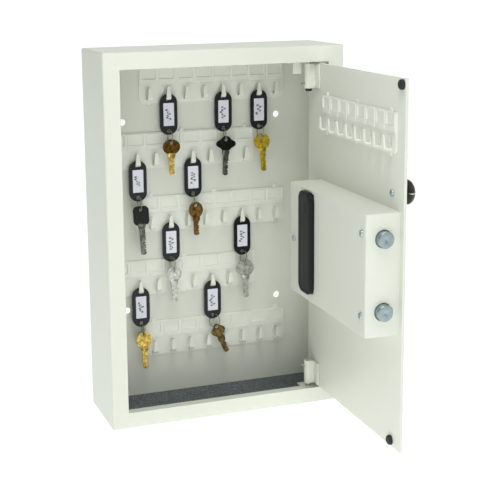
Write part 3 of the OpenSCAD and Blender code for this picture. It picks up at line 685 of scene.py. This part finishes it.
def pan_screw(bm, x, y, z, turn):
    """A pan head that bears on a wall at y and faces +Y, with its shank behind it."""
    part = bmesh.new()
    bmesh.ops.create_grid(part, x_segments=5, y_segments=5, size=1)
    lines = (-2.3, -1.5, -0.42, 0.42, 1.5, 2.3)
    for v in part.verts:
        v.co = (lines[round((v.co.x + 1) * 2.5)], lines[round((v.co.y + 1) * 2.5)], 2.4)
    cross = [
        f for f in part.faces
        if min(abs(f.calc_center_median().x), abs(f.calc_center_median().y)) < 0.1
        and max(abs(f.calc_center_median().x), abs(f.calc_center_median().y)) < 1.5
    ]
    rim = [e for e in part.edges if len(e.link_faces) == 1]
    for v in {v for e in rim for v in e.verts}:
        v.co.xy = v.co.xy.normalized() * 2.3
    for radius, z_to in ((3.1, 2.1), (3.7, 1.3), (3.8, 0.5), (3.8, 0), (1.9, 0), (1.9, -9)):
        made = bmesh.ops.extrude_edge_only(part, edges=rim)["geom"]
        rim = [e for e in made if isinstance(e, bmesh.types.BMEdge) and len(e.link_faces) == 1]
        for v in {v for e in rim for v in e.verts}:
            v.co.xy = v.co.xy.normalized() * radius
            v.co.z = z_to
    bmesh.ops.contextual_create(part, geom=rim)
    pit = bmesh.ops.extrude_face_region(part, geom=cross)["geom"]
    for v in {v for v in pit if isinstance(v, bmesh.types.BMVert)}:
        v.co = (v.co.x * 0.6, v.co.y * 0.6, 1.0)
    seat = Matrix.Translation((x, y, z)) @ inward @ Matrix.Rotation(turn, 4, "Z")
    bmesh.ops.transform(part, matrix=seat, verts=part.verts)
    join(bm, part)


bm = bmesh.new()
for k, (x, z) in enumerate(house_screws):
    pan_screw(bm, x, house_y, z, 0.4 + 1.1 * k)
pan_screw(bm, knob_x, door_in_y, knob_z, 0.9)
make("pan_head_screws", bm, "door", [zinc], ["housing_screws"], on_door=True, edge=0.1)

# ---- Bolts ----
# Two round steel bolts, turned to length, faced on a lathe and zinc plated. Their carriage carries a
# toothed bar.

# Turned and zinc-plated face: fine rings from the facing tool about every bolt's axis. Real feed marks are
# 0.1-0.2 mm apart, and are drawn at 0.8 mm so that they show.
turned_zinc, tree, place = new_finish("turned_zinc_face")
centred = []
for z in bolt_zs:
    centre = swing @ Vector((0, bolt_y, z))
    moved = add(tree, "Mapping", {
        "Vector": place, "Location": (-centre.x / 1000, 0, -centre.z / 1000), "Scale": (1, 0, 1),
    })
    length = add(tree, "VectorMath", {"operation": "LENGTH", 0: moved.outputs[0]})
    centred.append(length.outputs["Value"])
radius = add(tree, "Math", {"operation": "MINIMUM", 0: centred[0], 1: centred[1]})
rings = add(tree, "Math", {"operation": "MULTIPLY", 0: radius.outputs[0], 1: math.tau / 0.0008})
groove = add(tree, "Math", {"operation": "SINE", 0: rings.outputs[0]})
cloud = add(tree, "TexNoise", {"Vector": place, "Scale": 1 / 0.0025, "Detail": 4.0})
tone = add(tree, "Mix", {
    "data_type": "RGBA", "Factor": cloud.outputs[0], 6: linear("#7C8C91"), 7: linear("#AEBABD"),
})
gloss = add(tree, "MapRange", {"Value": cloud.outputs[0], "To Min": 0.3, "To Max": 0.5})
bump = add(tree, "Bump", {"Height": groove.outputs[0], "Strength": 0.25, "Distance": 0.0001})
shader = add(tree, "BsdfPrincipled", {
    "Base Color": tone.outputs[2], "Metallic": 1.0, "Roughness": gloss.outputs[0], "Normal": bump.outputs[0],
})
add(tree, "OutputMaterial", {"Surface": shader.outputs[0]})

bolt_len = 37.5
for name, z in zip(("upper_bolt", "lower_bolt"), bolt_zs):
    seat = Matrix.Translation((house_x0 - 7, bolt_y, z)) @ Matrix.Rotation(math.pi / 2, 4, "Y")
    bm = turned_part([
        (0, 0.25), (0.9, 0.12), (1.2, 0.0), (8.0, 0.0), (8.35, 0.08), (9.0, 0.75), (9.2, 1.2),
        (9.2, bolt_len - 0.6), (8.6, bolt_len), (0, bolt_len),
    ], seat, 48)
    make(name + "_round", bm, "bolts", [turned_zinc], [name], on_door=True)

nodes["bolt_carriage"].data.materials.clear()
nodes["bolt_carriage"].data.materials.append(zinc)

# ---- Drive ----
# A gear motor whose moulded pinion moves the toothed bar, and the circuit board that runs it.

# Cast motor housing: dull grey metal, slightly grainy.
motor_metal, tree, place = new_finish("motor_can_steel")
grit = add(tree, "TexNoise", {"Vector": place, "Scale": 1 / 0.001, "Detail": 3.0})
bump = add(tree, "Bump", {"Height": grit.outputs[0], "Strength": 0.2, "Distance": 0.0001})
gloss = add(tree, "MapRange", {"Value": grit.outputs[0], "To Min": 0.35, "To Max": 0.55})
shader = add(tree, "BsdfPrincipled", {
    "Base Color": linear("#A3A6A8"), "Metallic": 1.0, "Roughness": gloss.outputs[0],
    "Normal": bump.outputs[0],
})
add(tree, "OutputMaterial", {"Surface": shader.outputs[0]})
nodes["gear_motor"].data.materials.clear()
nodes["gear_motor"].data.materials.append(motor_metal)

# Natural nylon: milky white and waxy.
nylon, tree, place = new_finish("natural_nylon")
milk = add(tree, "TexNoise", {"Vector": place, "Scale": 1 / 0.008, "Detail": 1.0})
tone = add(tree, "Mix", {
    "data_type": "RGBA", "Factor": milk.outputs[0], 6: linear("#E2E0D6"), 7: linear("#EEECE4"),
})
shader = add(tree, "BsdfPrincipled", {
    "Base Color": tone.outputs[2], "Roughness": 0.42, "Subsurface Weight": 0.15,
    "Subsurface Radius": (0.002, 0.002, 0.0015),
})
add(tree, "OutputMaterial", {"Surface": shader.outputs[0]})
nodes["drive_pinion"].data.materials.clear()
nodes["drive_pinion"].data.materials.append(nylon)

# Green solder mask on glass fibre, with tracks that show through as lighter lines.
board_green, tree, place = new_finish("solder_mask_green")
tracks = add(tree, "TexBrick", {
    "Vector": place, "Scale": 1 / 0.004, "Color1": linear("#1F5B38"), "Color2": linear("#1B5233"),
    "Mortar": linear("#3B8A5A"), "Mortar Size": 0.03,
})
shader = add(tree, "BsdfPrincipled", {"Base Color": tracks.outputs[0], "Roughness": 0.3, "Coat Weight": 0.3})
add(tree, "OutputMaterial", {"Surface": shader.outputs[0]})
nodes["circuit_board"].data.materials.clear()
nodes["circuit_board"].data.materials.append(board_green)

# ---- Batteries ----
# Four AA cells in a moulded tray, under a black clip-on cover that stands a little proud of the housing.

# Black ABS with a spark-eroded mould texture: satin, and charcoal in the light.
black_abs, tree, place = new_finish("black_textured_abs")
spark = add(tree, "TexNoise", {"Vector": place, "Scale": 1 / 0.0014, "Detail": 2.0})
drift = add(tree, "TexNoise", {"Vector": place, "Scale": 1 / 0.02, "Detail": 2.0})
tone = add(tree, "Mix", {
    "data_type": "RGBA", "Factor": drift.outputs[0], 6: linear("#0C0E10"), 7: linear("#131517"),
})
gloss = add(tree, "MapRange", {"Value": spark.outputs[0], "To Min": 0.34, "To Max": 0.5})
bump = add(tree, "Bump", {"Height": spark.outputs[0], "Strength": 0.15, "Distance": 0.0001})
shader = add(tree, "BsdfPrincipled", {
    "Base Color": tone.outputs[2], "Roughness": gloss.outputs[0], "Normal": bump.outputs[0],
    "Specular IOR Level": 0.25,
})
add(tree, "OutputMaterial", {"Surface": shader.outputs[0]})
nodes["battery_case"].data.materials.clear()
nodes["battery_case"].data.materials.append(black_abs)

# Printed foil wrap on the cells: green with a copper end band.
wrap, tree, place = new_finish("cell_foil_wrap")
along = add(tree, "SeparateXYZ", {"Vector": place}).outputs["Z"]
band = add(tree, "Math", {"operation": "PINGPONG", 0: along, 1: 0.027})
edge_at = add(tree, "Math", {"operation": "GREATER_THAN", 0: band.outputs[0], 1: 0.019})
tone = add(tree, "Mix", {
    "data_type": "RGBA", "Factor": edge_at.outputs[0], 6: linear("#2F6B4C"), 7: linear("#B0764A"),
})
shader = add(tree, "BsdfPrincipled", {"Base Color": tone.outputs[2], "Metallic": 0.5, "Roughness": 0.3})
add(tree, "OutputMaterial", {"Surface": shader.outputs[0]})
nodes["batteries"].data.materials.clear()
nodes["batteries"].data.materials.append(wrap)

cover_w, cover_h, cover_t = 36.0, 122.0, 6.0


def cap_plate(bm, width, height, radius, y0, y1, soft, steps=3):
    """A plate centred on the battery opening from y0 to y1, with round corners and a softened front rim."""
    round_plate(bm, (cell_x, y0, cell_z), width, height, radius, y1 - y0, steps=8)
    face = max(bm.faces, key=lambda f: (f.calc_center_median().y, f.calc_area()))
    if soft:
        bmesh.ops.bevel(
            bm, geom=list(face.edges), offset=soft, segments=steps, profile=0.5, affect="EDGES", material=-1
        )


bm = bmesh.new()
cap_plate(bm, cover_w, cover_h, 11, house_y + 0.06, house_y + cover_t, 1.6)
face = max(bm.faces, key=lambda f: (round(f.calc_center_median().y, 3), f.calc_area()))
bmesh.ops.inset_region(bm, faces=[face], thickness=2.4, use_even_offset=True)
bmesh.ops.inset_region(bm, faces=[face], thickness=0.35, depth=-0.45, use_even_offset=True)
bmesh.ops.inset_region(bm, faces=[face], thickness=0.5, use_even_offset=True)
bmesh.ops.inset_region(bm, faces=[face], thickness=0.35, depth=0.3, use_even_offset=True)
for k in range(5):
    z = cell_z + cover_h / 2 - 14 - k * 2.6
    rib_y = house_y + cover_t
    block(bm, (cell_x - 8, rib_y - 0.6, z - 0.6), (cell_x + 8, rib_y + 0.1, z + 0.6), soft=0.3)
lip = bmesh.new()
round_plate(lip, (cell_x, house_y - 3, cell_z), 27, 113, 6, 3.5, steps=5)
join(bm, lip)
make("battery_cap", bm, "cover", [black_abs], ["battery_cover"], on_door=True)

# ---- Keypad ----
# A moulded panel on the outside of the door with twelve keys, a recessed strip at its top and two indicator
# lamps.
pad_x, pad_z, pad_t = -14.0, -16.0, 8.0
pad_y = door_out_y - pad_t
buttons = [(pad_x + ((i % 3) - 1) * 20, pad_z + 18 - (i // 3) * 18) for i in range(12)]
bm = bmesh.new()
block(bm, (pad_x - 38, pad_y, pad_z - 56), (pad_x + 38, door_out_y - 0.02, pad_z + 56))
bmesh.ops.delete(bm, geom=[f for f in bm.faces if f.normal.y > 0.5], context="FACES_ONLY")
corners = [e for e in bm.edges if abs((e.verts[0].co - e.verts[1].co).y) > 1]
bmesh.ops.bevel(bm, geom=corners, offset=8, segments=6, profile=0.5, affect="EDGES", material=-1)
face = [f for f in bm.faces if f.normal.y < -0.9]
bmesh.ops.bevel(
    bm, geom=list(face[0].edges), offset=1.8, segments=3, profile=0.5, affect="EDGES", material=-1
)
openings = [((x, pad_y, z), 15.6, 11.6, None) for x, z in buttons]
openings.append(((pad_x, pad_y, pad_z + 40), 52, 14, None))
cut_openings(bm, 1, openings)
mouths = [e for e in bm.edges if len(e.link_faces) == 1 and all(abs(v.co.y - pad_y) < 0.01 for v in e.verts)]
wells = bmesh.ops.extrude_edge_only(bm, edges=mouths)["geom"]
bmesh.ops.translate(bm, verts=[v for v in wells if isinstance(v, bmesh.types.BMVert)], vec=(0, 1.2, 0))
block(bm, (pad_x - 35, pad_y + 1.0, pad_z - 50), (pad_x + 35, pad_y + 1.4, pad_z + 50))
make("keypad_face", bm, "door", [black_abs], ["keypad_panel"], on_door=True, edge=0.2)

# Translucent grey silicone-topped keys, each with its figure printed on it in dark grey.
button_grey, tree, place = new_finish("moulded_grey_silicone")
mottle = add(tree, "TexNoise", {"Vector": place, "Scale": 1 / 0.002, "Detail": 2.0})
tone = add(tree, "Mix", {
    "data_type": "RGBA", "Factor": mottle.outputs[0], 6: linear("#B9BDC1"), 7: linear("#C9CCD0"),
})
shader = add(tree, "BsdfPrincipled", {
    "Base Color": tone.outputs[2], "Roughness": 0.5, "Subsurface Weight": 0.1,
    "Subsurface Radius": (0.002, 0.002, 0.002),
})
add(tree, "OutputMaterial", {"Surface": shader.outputs[0]})

# Pad-printed ink: flat dark grey, a little uneven.
key_ink, tree, place = new_finish("dark_printing_ink")
blot = add(tree, "TexNoise", {"Vector": place, "Scale": 1 / 0.001})
tone = add(tree, "Mix", {
    "data_type": "RGBA", "Factor": blot.outputs[0], 6: linear("#17191D"), 7: linear("#2C3036"),
})
shader = add(tree, "BsdfPrincipled", {"Base Color": tone.outputs[2], "Roughness": 0.6})
add(tree, "OutputMaterial", {"Surface": shader.outputs[0]})

figures = "123456789*0#"
for i, (x, z) in enumerate(buttons, 1):
    bm = bmesh.new()
    round_plate(bm, (x, pad_y - 2, z), 15, 11, 2, 7, steps=4)
    top = min(bm.faces, key=lambda f: f.calc_center_median().y)
    bmesh.ops.inset_region(bm, faces=[top], thickness=0.9, use_even_offset=True)
    bmesh.ops.inset_region(bm, faces=[top], thickness=1.2, depth=-0.25, use_even_offset=True)
    name = f"keypad_button_{i}"
    make(name, bm, f"button_{i}", [button_grey], [f"button_{i}"], on_door=True, edge=0.4)
    text = bpy.data.curves.new(f"figure_{i}", "FONT")
    text.body, text.size, text.extrude, text.resolution_u = figures[i - 1], 8.5, 0.06, 3
    text.align_x, text.align_y = "CENTER", "CENTER"
    print_obj = bpy.data.objects.new(f"figure_{i}", text)
    bpy.context.scene.collection.objects.link(print_obj)
    flat = bpy.data.meshes.new_from_object(print_obj.evaluated_get(bpy.context.evaluated_depsgraph_get()))
    bpy.data.objects.remove(print_obj)
    bm = bmesh.new()
    bm.from_mesh(flat)
    bpy.data.meshes.remove(flat)
    middle = sum((v.co for v in bm.verts), Vector()) / len(bm.verts)
    seat = Matrix.Translation((x, pad_y - 1.8, z)) @ outward @ Matrix.Translation((-middle.x, -middle.y, 0))
    bmesh.ops.transform(bm, matrix=seat, verts=bm.verts)
    make(f"button_figure_{i}", bm, f"button_{i}", [key_ink], on_door=True)

# ---- Key tags ----
# Black moulded tags with round ends. A slot at the top goes over the hook, a raised frame holds a paper
# label, and a split ring through the hole at the bottom carries the key.

# Polished black polypropylene: glossy, blue-black, with fine scuffs.
tag_black, tree, place = new_finish("polished_black_polypropylene")
scuff = add(tree, "TexNoise", {"Vector": place, "Scale": 1 / 0.002, "Detail": 5.0, "Roughness": 0.7})
gloss = add(tree, "MapRange", {"Value": scuff.outputs[0], "To Min": 0.16, "To Max": 0.36})
tone = add(tree, "Mix", {
    "data_type": "RGBA", "Factor": scuff.outputs[0], 6: linear("#0B0C12"), 7: linear("#15171E"),
})
bump = add(tree, "Bump", {"Height": scuff.outputs[0], "Strength": 0.06, "Distance": 0.0001})
shader = add(tree, "BsdfPrincipled", {
    "Base Color": tone.outputs[2], "Roughness": gloss.outputs[0], "Normal": bump.outputs[0],
    "Specular IOR Level": 0.3,
})
add(tree, "OutputMaterial", {"Surface": shader.outputs[0]})

# Uncoated paper behind a clear film: bluish white, slightly cloudy.
label_paper, tree, place = new_finish("label_paper")
pulp = add(tree, "TexNoise", {"Vector": place, "Scale": 1 / 0.0012, "Detail": 4.0})
tone = add(tree, "Mix", {
    "data_type": "RGBA", "Factor": pulp.outputs[0], 6: linear("#DEDFEC"), 7: linear("#ECEDF8"),
})
shader = add(tree, "BsdfPrincipled", {"Base Color": tone.outputs[2], "Roughness": 0.7, "Coat Weight": 0.35,
                                      "Coat Roughness": 0.12})
add(tree, "OutputMaterial", {"Surface": shader.outputs[0]})

# The split rings are drawn spring steel wire with a dull nickel finish.
ring_wire, tree, place = new_finish("nickelled_spring_wire")
tarnish = add(tree, "TexNoise", {"Vector": place, "Scale": 1 / 0.0018, "Detail": 2.0})
tone = add(tree, "Mix", {
    "data_type": "RGBA", "Factor": tarnish.outputs[0], 6: linear("#7E8078"), 7: linear("#B6B8AE"),
})
shader = add(tree, "BsdfPrincipled", {"Base Color": tone.outputs[2], "Metallic": 1.0, "Roughness": 0.3})
add(tree, "OutputMaterial", {"Surface": shader.outputs[0]})

tag_w, tag_h = 22.5, 51.0
tag_places = [(1, 2), (1, 5), (1, 7), (2, 2), (2, 5), (3, 2), (3, 6), (4, 2), (4, 6)]
tag_mid = 5.45 - tag_h / 2
ring_hole_z = -40.95
ring_r, ring_lean = 8.0, math.radians(35)
ring_turns = [0, 0, 0, 0, 0, 0, 0, 0, 10]
# How far each ring is twisted about the line between its tag and its key
ring_twists = [6, -10, 12, 4, -18, 8, 14, -6, 30]
# The marks written on each label: how many waves each has, and how tall and how wide they are
label_marks = [
    [(1, 1.9, 1.0), (3, 1.5, 0.8), (2, 2.0, 0.9)], [(3, 1.8, 0.8), (1, 2.1, 1.1), (3, 1.6, 0.8)],
    [(2, 2.0, 0.9), (2, 1.5, 1.0), (1, 2.1, 1.2)], [(1, 2.1, 0.9), (1, 2.0, 0.9), (4, 1.4, 0.7)],
    [(4, 1.6, 0.7), (2, 2.0, 1.0), (1, 1.7, 0.9)], [(2, 1.7, 0.9), (3, 2.0, 0.8), (3, 1.4, 0.8)],
    [(3, 2.0, 0.8), (3, 1.6, 0.8), (1, 2.1, 1.0)], [(1, 1.8, 1.0), (3, 2.0, 0.8), (2, 1.5, 1.0)],
    [(3, 1.5, 0.8), (1, 2.1, 1.1), (3, 1.9, 0.8)],
]


def hook_seat(row, hook_number):
    """Where a tag hangs: the middle of a hook's crook."""
    x = (15.5 if row % 2 else -26) + (hook_number - 4.5) * hook_pitch
    return Matrix.Translation((x, -sheet_t - 7.1, -182 + (5 - row) * 81 + 6))


def thicken(bm, depth):
    """Gives a flat sheet that faces -Y its thickness, towards +Y."""
    made = bmesh.ops.extrude_face_region(bm, geom=bm.faces[:], use_keep_orig=True)["geom"]
    bmesh.ops.translate(bm, verts=[v for v in made if isinstance(v, bmesh.types.BMVert)], vec=(0, depth, 0))


def front_sheet(bm):
    """Leaves only the faces of bm that look towards -Y."""
    bmesh.ops.delete(bm, geom=[f for f in bm.faces if f.normal.y > -0.9], context="FACES")


def frame_ring(bm, width, height, radius, rail, y0, y1, steps):
    """A raised frame round the middle of the tag, with its inner edge rail inside its outer one."""
    ring = bmesh.new()
    round_plate(ring, (0, y0, tag_mid), width, height, radius, 1, steps=steps)
    front_sheet(ring)
    inner = ring.faces[:]
    bmesh.ops.inset_region(ring, faces=inner, thickness=rail, use_even_offset=True)
    bmesh.ops.delete(ring, geom=inner, context="FACES_ONLY")
    thicken(ring, y1 - y0)
    join(bm, ring)


def scribble(bm, marks, y):
    """Pen marks on a label, one above the other: waves of half circles drawn with a flat nib."""
    z = tag_mid + 5.5
    for waves, tall, wide in marks:
        mark = bmesh.new()
        for k in range(waves):
            centre = (0, 0, -k * 2)
            nib = [mark.verts.new((0, 0, centre[2] + r)) for r in (0.66, 1.34)]
            bmesh.ops.spin(
                mark, geom=[*nib, mark.edges.new(nib)], cent=centre, axis=(0, 1 if k % 2 else -1, 0),
                angle=math.pi, steps=7,
            )
        bmesh.ops.scale(mark, vec=(tall * 1.35, 1, wide * 1.1), verts=mark.verts)
        bmesh.ops.translate(mark, verts=mark.verts, vec=(-0.6 * tall if waves == 1 else 0, y, z))
        z -= wide * 2.2 * waves + 0.9
        join(bm, mark)


for n, (row, hook_number) in enumerate(tag_places, 1):
    seat = hook_seat(row, hook_number)
    bm = bmesh.new()
    round_plate(bm, (0, -0.9, tag_mid), tag_w, tag_h, 11.2, 1, steps=12)
    front_sheet(bm)
    cut_openings(bm, 1, [((0, -0.9, -1.05), 6, 4, None), ((0, -0.9, ring_hole_z), 5.2, 5.2, 0.0)], cuts=4)
    thicken(bm, 2.4)
    frame_ring(bm, tag_w, tag_h, 11.2, 1.3, -1.5, -0.7, 12)
    frame_ring(bm, 16.6, 31.4, 1.6, 1.7, -1.5, -0.7, 3)
    bmesh.ops.transform(bm, matrix=seat, verts=bm.verts)
    make(f"tag_body_{n}", bm, f"tag_{n}", [tag_black], [f"key_tag_{n}"], edge=0.25)

    bm = bmesh.new()
    round_plate(bm, (0, -1.15, tag_mid), 13.6, 28.4, 0.6, 0.3, steps=2)
    bmesh.ops.transform(bm, matrix=seat, verts=bm.verts)
    make(f"tag_label_{n}", bm, f"tag_{n}", [label_paper])

    bm = bmesh.new()
    scribble(bm, label_marks[n - 1], -1.19)
    thicken(bm, 0.03)
    bmesh.ops.transform(bm, matrix=seat, verts=bm.verts)
    make(f"tag_pen_marks_{n}", bm, f"tag_{n}", [key_ink])

    # Two turns of wire side by side, wound by a spin that also moves along
    bm = bmesh.new()
    wire = bmesh.ops.create_circle(
        bm, cap_ends=True, segments=8, radius=0.31,
        matrix=Matrix.Translation((-0.64, 0, ring_r)) @ Matrix.Rotation(math.pi / 2, 4, "X"),
    )["verts"]
    bmesh.ops.spin(
        bm, geom=[*wire, *{e for v in wire for e in v.link_edges}, *{f for v in wire for f in v.link_faces}],
        cent=(0, 0, 0), axis=(1, 0, 0), dvec=(1.28 / 80, 0, 0), angle=2 * math.tau, steps=80,
    )
    open_ends = [e for e in bm.edges if len(e.link_faces) == 1]
    if open_ends:
        bmesh.ops.holes_fill(bm, edges=open_ends)
    ring_seat = (
        seat @ Matrix.Translation((0, 0, ring_hole_z))
        @ Matrix.Rotation(math.radians(ring_turns[n - 1]), 4, "Z")
        @ Matrix.Rotation(-ring_lean, 4, "X") @ Matrix.Rotation(math.radians(ring_twists[n - 1]), 4, "Z")
        @ Matrix.Translation((0, 0, -ring_r))
    )
    bmesh.ops.transform(bm, matrix=ring_seat, verts=bm.verts)
    make(f"split_ring_{n}", bm, f"tag_{n}", [ring_wire])

# ---- Keys ----
# Nine cut keys stamped from 2.2 mm blanks: a pressed head with a hole for the ring, a shoulder and a grooved
# blade with its cuts. Two have black heads, one of them moulded in plastic.


def key_metal(name, dark, light, gloss_low, gloss_high):
    """A worn metal: polished high spots over a darker, mottled ground."""
    metal, tree, place = new_finish(name)
    wear = add(tree, "TexNoise", {"Vector": place, "Scale": 1 / 0.0035, "Detail": 5.0, "Roughness": 0.65})
    worn = add(tree, "MapRange", {"Value": wear.outputs[0], "From Min": 0.36, "From Max": 0.64})
    tone = add(tree, "Mix", {
        "data_type": "RGBA", "Factor": worn.outputs[0], 6: linear(dark), 7: linear(light),
    })
    gloss = add(tree, "MapRange", {"Value": wear.outputs[0], "To Min": gloss_high, "To Max": gloss_low})
    bump = add(tree, "Bump", {"Height": wear.outputs[0], "Strength": 0.2, "Distance": 0.0002})
    shader = add(tree, "BsdfPrincipled", {
        "Base Color": tone.outputs[2], "Metallic": 1.0, "Roughness": gloss.outputs[0],
        "Normal": bump.outputs[0],
    })
    add(tree, "OutputMaterial", {"Surface": shader.outputs[0]})
    return metal


# Brass darkens to brown where it isn't handled, and rubs bright on its edges and face.
aged_brass = key_metal("aged_brass", "#2E200C", "#6E5020", 0.25, 0.45)
bright_brass = key_metal("bright_brass", "#AE8B22", "#E6C950", 0.2, 0.34)
brown_brass = key_metal("brown_tarnished_brass", "#33200C", "#94703E", 0.18, 0.5)
pale_brass = key_metal("pale_brass", "#8E7430", "#D6BC6C", 0.18, 0.36)
dark_bronze = key_metal("dark_bronze", "#2F2717", "#857143", 0.24, 0.5)
# Nickel silver stays pale grey and only dulls.
nickel_silver = key_metal("nickel_silver", "#8F918A", "#CACCC5", 0.24, 0.38)
# Blued steel: nearly black with a cold sheen, bright where the cuts are.
blued_steel = key_metal("blued_steel", "#0F100F", "#2E302E", 0.28, 0.5)
cut_steel = key_metal("plain_cut_steel", "#383A34", "#80827A", 0.25, 0.42)

key_top = 4.05
cut_depths = (1.2, 2.2, 0.8, 2.4, 1.6)
keys = [
    ("round", 22, 19, 44, aged_brass, pale_brass, 0, "bronze_key"),
    ("eared", 24, 20, 50, blued_steel, cut_steel, -2, "black_key"),
    ("round", 21, 20, 48, bright_brass, bright_brass, 4, "gold_key"),
    ("square", 20, 24, 62, black_abs, cut_steel, 3, "car_key"),
    ("round", 18, 21, 43, brown_brass, brown_brass, 1, "antique_key"),
    ("round", 20, 19, 46, nickel_silver, nickel_silver, 1, "silver_key"),
    ("round", 24, 22, 50, nickel_silver, nickel_silver, 2, "silver_key"),
    ("round", 20, 21, 48, pale_brass, pale_brass, 3, "gold_key"),
    ("diamond", 20, 21, 42, dark_bronze, dark_bronze, 22, "bronze_key"),
]


def key_head(shape, width, height):
    """A head as a bmesh, with its ring hole and a pressed field inside a raised rim."""
    bm = bmesh.new()
    middle_z, front_y = key_top - height / 2, -1.1
    flat = Matrix.Translation((0, front_y, middle_z)) @ Matrix.Rotation(math.pi / 2, 4, "X")
    if shape == "square":
        round_plate(bm, (0, front_y, middle_z), width, height, 5.5, 1, steps=5)
        front_sheet(bm)
    else:
        count = 4 if shape == "diamond" else 44
        bmesh.ops.create_circle(
            bm, cap_ends=True, segments=count, radius=1,
            matrix=flat @ Matrix.Diagonal((width / 2, height / 2, 1, 1))
        )
    if shape == "diamond":
        bmesh.ops.scale(bm, vec=(1.12, 1, 1.1), verts=bm.verts, space=Matrix.Translation((0, 0, -middle_z)))
        bmesh.ops.bevel(
            bm, geom=bm.verts[:], offset=4.2, segments=3, profile=0.5, affect="VERTICES", material=-1
        )
    if shape == "eared":
        # The sides are drawn out to blunt ears, and the waist above and below them is pulled in
        for v in bm.verts:
            angle = math.atan2((v.co.z - middle_z) / height, v.co.x / width)
            draw = 0.72 + 0.36 * abs(math.cos(angle)) ** 6 + 0.3 * abs(math.sin(angle)) ** 6
            v.co.x *= draw
            v.co.z = middle_z + (v.co.z - middle_z) * draw
    for f in bm.faces:
        if f.normal.y > 0:
            bmesh.ops.reverse_faces(bm, faces=[f])
    cut_openings(bm, 1, [((0, front_y, -0.5), 4.5, 4.5, 0.0)], cuts=4)
    thicken(bm, 2.2)
    bmesh.ops.recalc_face_normals(bm, faces=bm.faces)
    face = [f for f in bm.faces if f.normal.y < -0.9]
    bmesh.ops.inset_region(bm, faces=face, thickness=1.1)
    bmesh.ops.inset_region(bm, faces=face, thickness=0.3, depth=-0.35)
    return bm


def key_blade(top_z, low_z):
    """A blade as a bmesh: V cuts along its right edge, a groove down its face and a pointed tip."""
    bm = bmesh.new()
    half, front_y = 3.5, -1.1
    bmesh.ops.create_grid(
        bm, x_segments=1, y_segments=1, size=0.5,
        matrix=Matrix.Translation((0, front_y, (top_z + low_z) / 2)) @ Matrix.Rotation(math.pi / 2, 4, "X")
        @ Matrix.Diagonal((2 * half, top_z - low_z, 1, 1)),
    )
    tip = [v for v in bm.verts if v.co.z < low_z + 0.1]
    bmesh.ops.bevel(bm, geom=tip, offset=2.4, segments=2, profile=0.5, affect="VERTICES", material=-1)
    bits = [(low_z + 4.5 + k * 3.2, depth) for k, depth in enumerate(cut_depths)]
    levels = [z + off for z, _ in bits for off in (-1.4, 0, 1.4)]
    for axis, at in [(2, z) for z in levels] + [(0, -1.6), (0, -0.2)]:
        spot, normal = Vector((0, 0, 0)), Vector((0, 0, 0))
        spot[axis], normal[axis] = at, 1
        bmesh.ops.bisect_plane(
            bm, geom=bm.verts[:] + bm.edges[:] + bm.faces[:], plane_co=spot, plane_no=normal, dist=1e-3
        )
    for z, depth in bits:
        for v in bm.verts:
            if v.co.x > half - 0.01 and abs(v.co.z - z) < 0.01:
                v.co.x -= depth
    for f in bm.faces:
        if f.normal.y > 0:
            bmesh.ops.reverse_faces(bm, faces=[f])
    thicken(bm, 2.2)
    bmesh.ops.recalc_face_normals(bm, faces=bm.faces)
    for side in (-1, 1):
        groove = [
            f for f in bm.faces
            if f.normal.y * side > 0.9 and -1.6 < f.calc_center_median().x < -0.2
            and f.calc_center_median().z > low_z + 2.5
        ]
        made = bmesh.ops.extrude_face_region(bm, geom=groove)["geom"]
        verts = [v for v in made if isinstance(v, bmesh.types.BMVert)]
        bmesh.ops.translate(bm, verts=verts, vec=(0, -0.6 * side, 0))
    return bm


for n, (shape, width, height, length, head_finish, blade_finish, lean, slot_name) in enumerate(keys, 1):
    hang = (
        hook_seat(*tag_places[n - 1])
        @ Matrix.Translation((0, 0, ring_hole_z)) @ Matrix.Rotation(math.radians(ring_turns[n - 1]), 4, "Z")
        @ Matrix.Rotation(-ring_lean, 4, "X") @ Matrix.Translation((0, 0, -2 * ring_r))
    )
    seat = Matrix.Translation(hang.to_translation()) @ Matrix.Rotation(math.radians(-lean), 4, "Y")
    head_low = key_top - height
    bm = key_head(shape, width, height)
    bmesh.ops.transform(bm, matrix=seat, verts=bm.verts)
    make(f"key_head_{n}", bm, f"key_{n}", [head_finish], [f"key_{n}"], edge=0.3)
    bm = key_blade(head_low + 1.5, key_top - length)
    block(bm, (-4.7, -1.3, head_low - 3), (4.7, 1.3, head_low + 2.2), soft=0.5)
    block(bm, (-3.9, -1.25, head_low - 4.6), (3.9, 1.25, head_low - 2.8), soft=0.4)
    bmesh.ops.transform(bm, matrix=seat, verts=bm.verts)
    make(f"key_blade_{n}", bm, f"key_{n}", [blade_finish], edge=0.15)

# ---- Size ----
low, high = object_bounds()
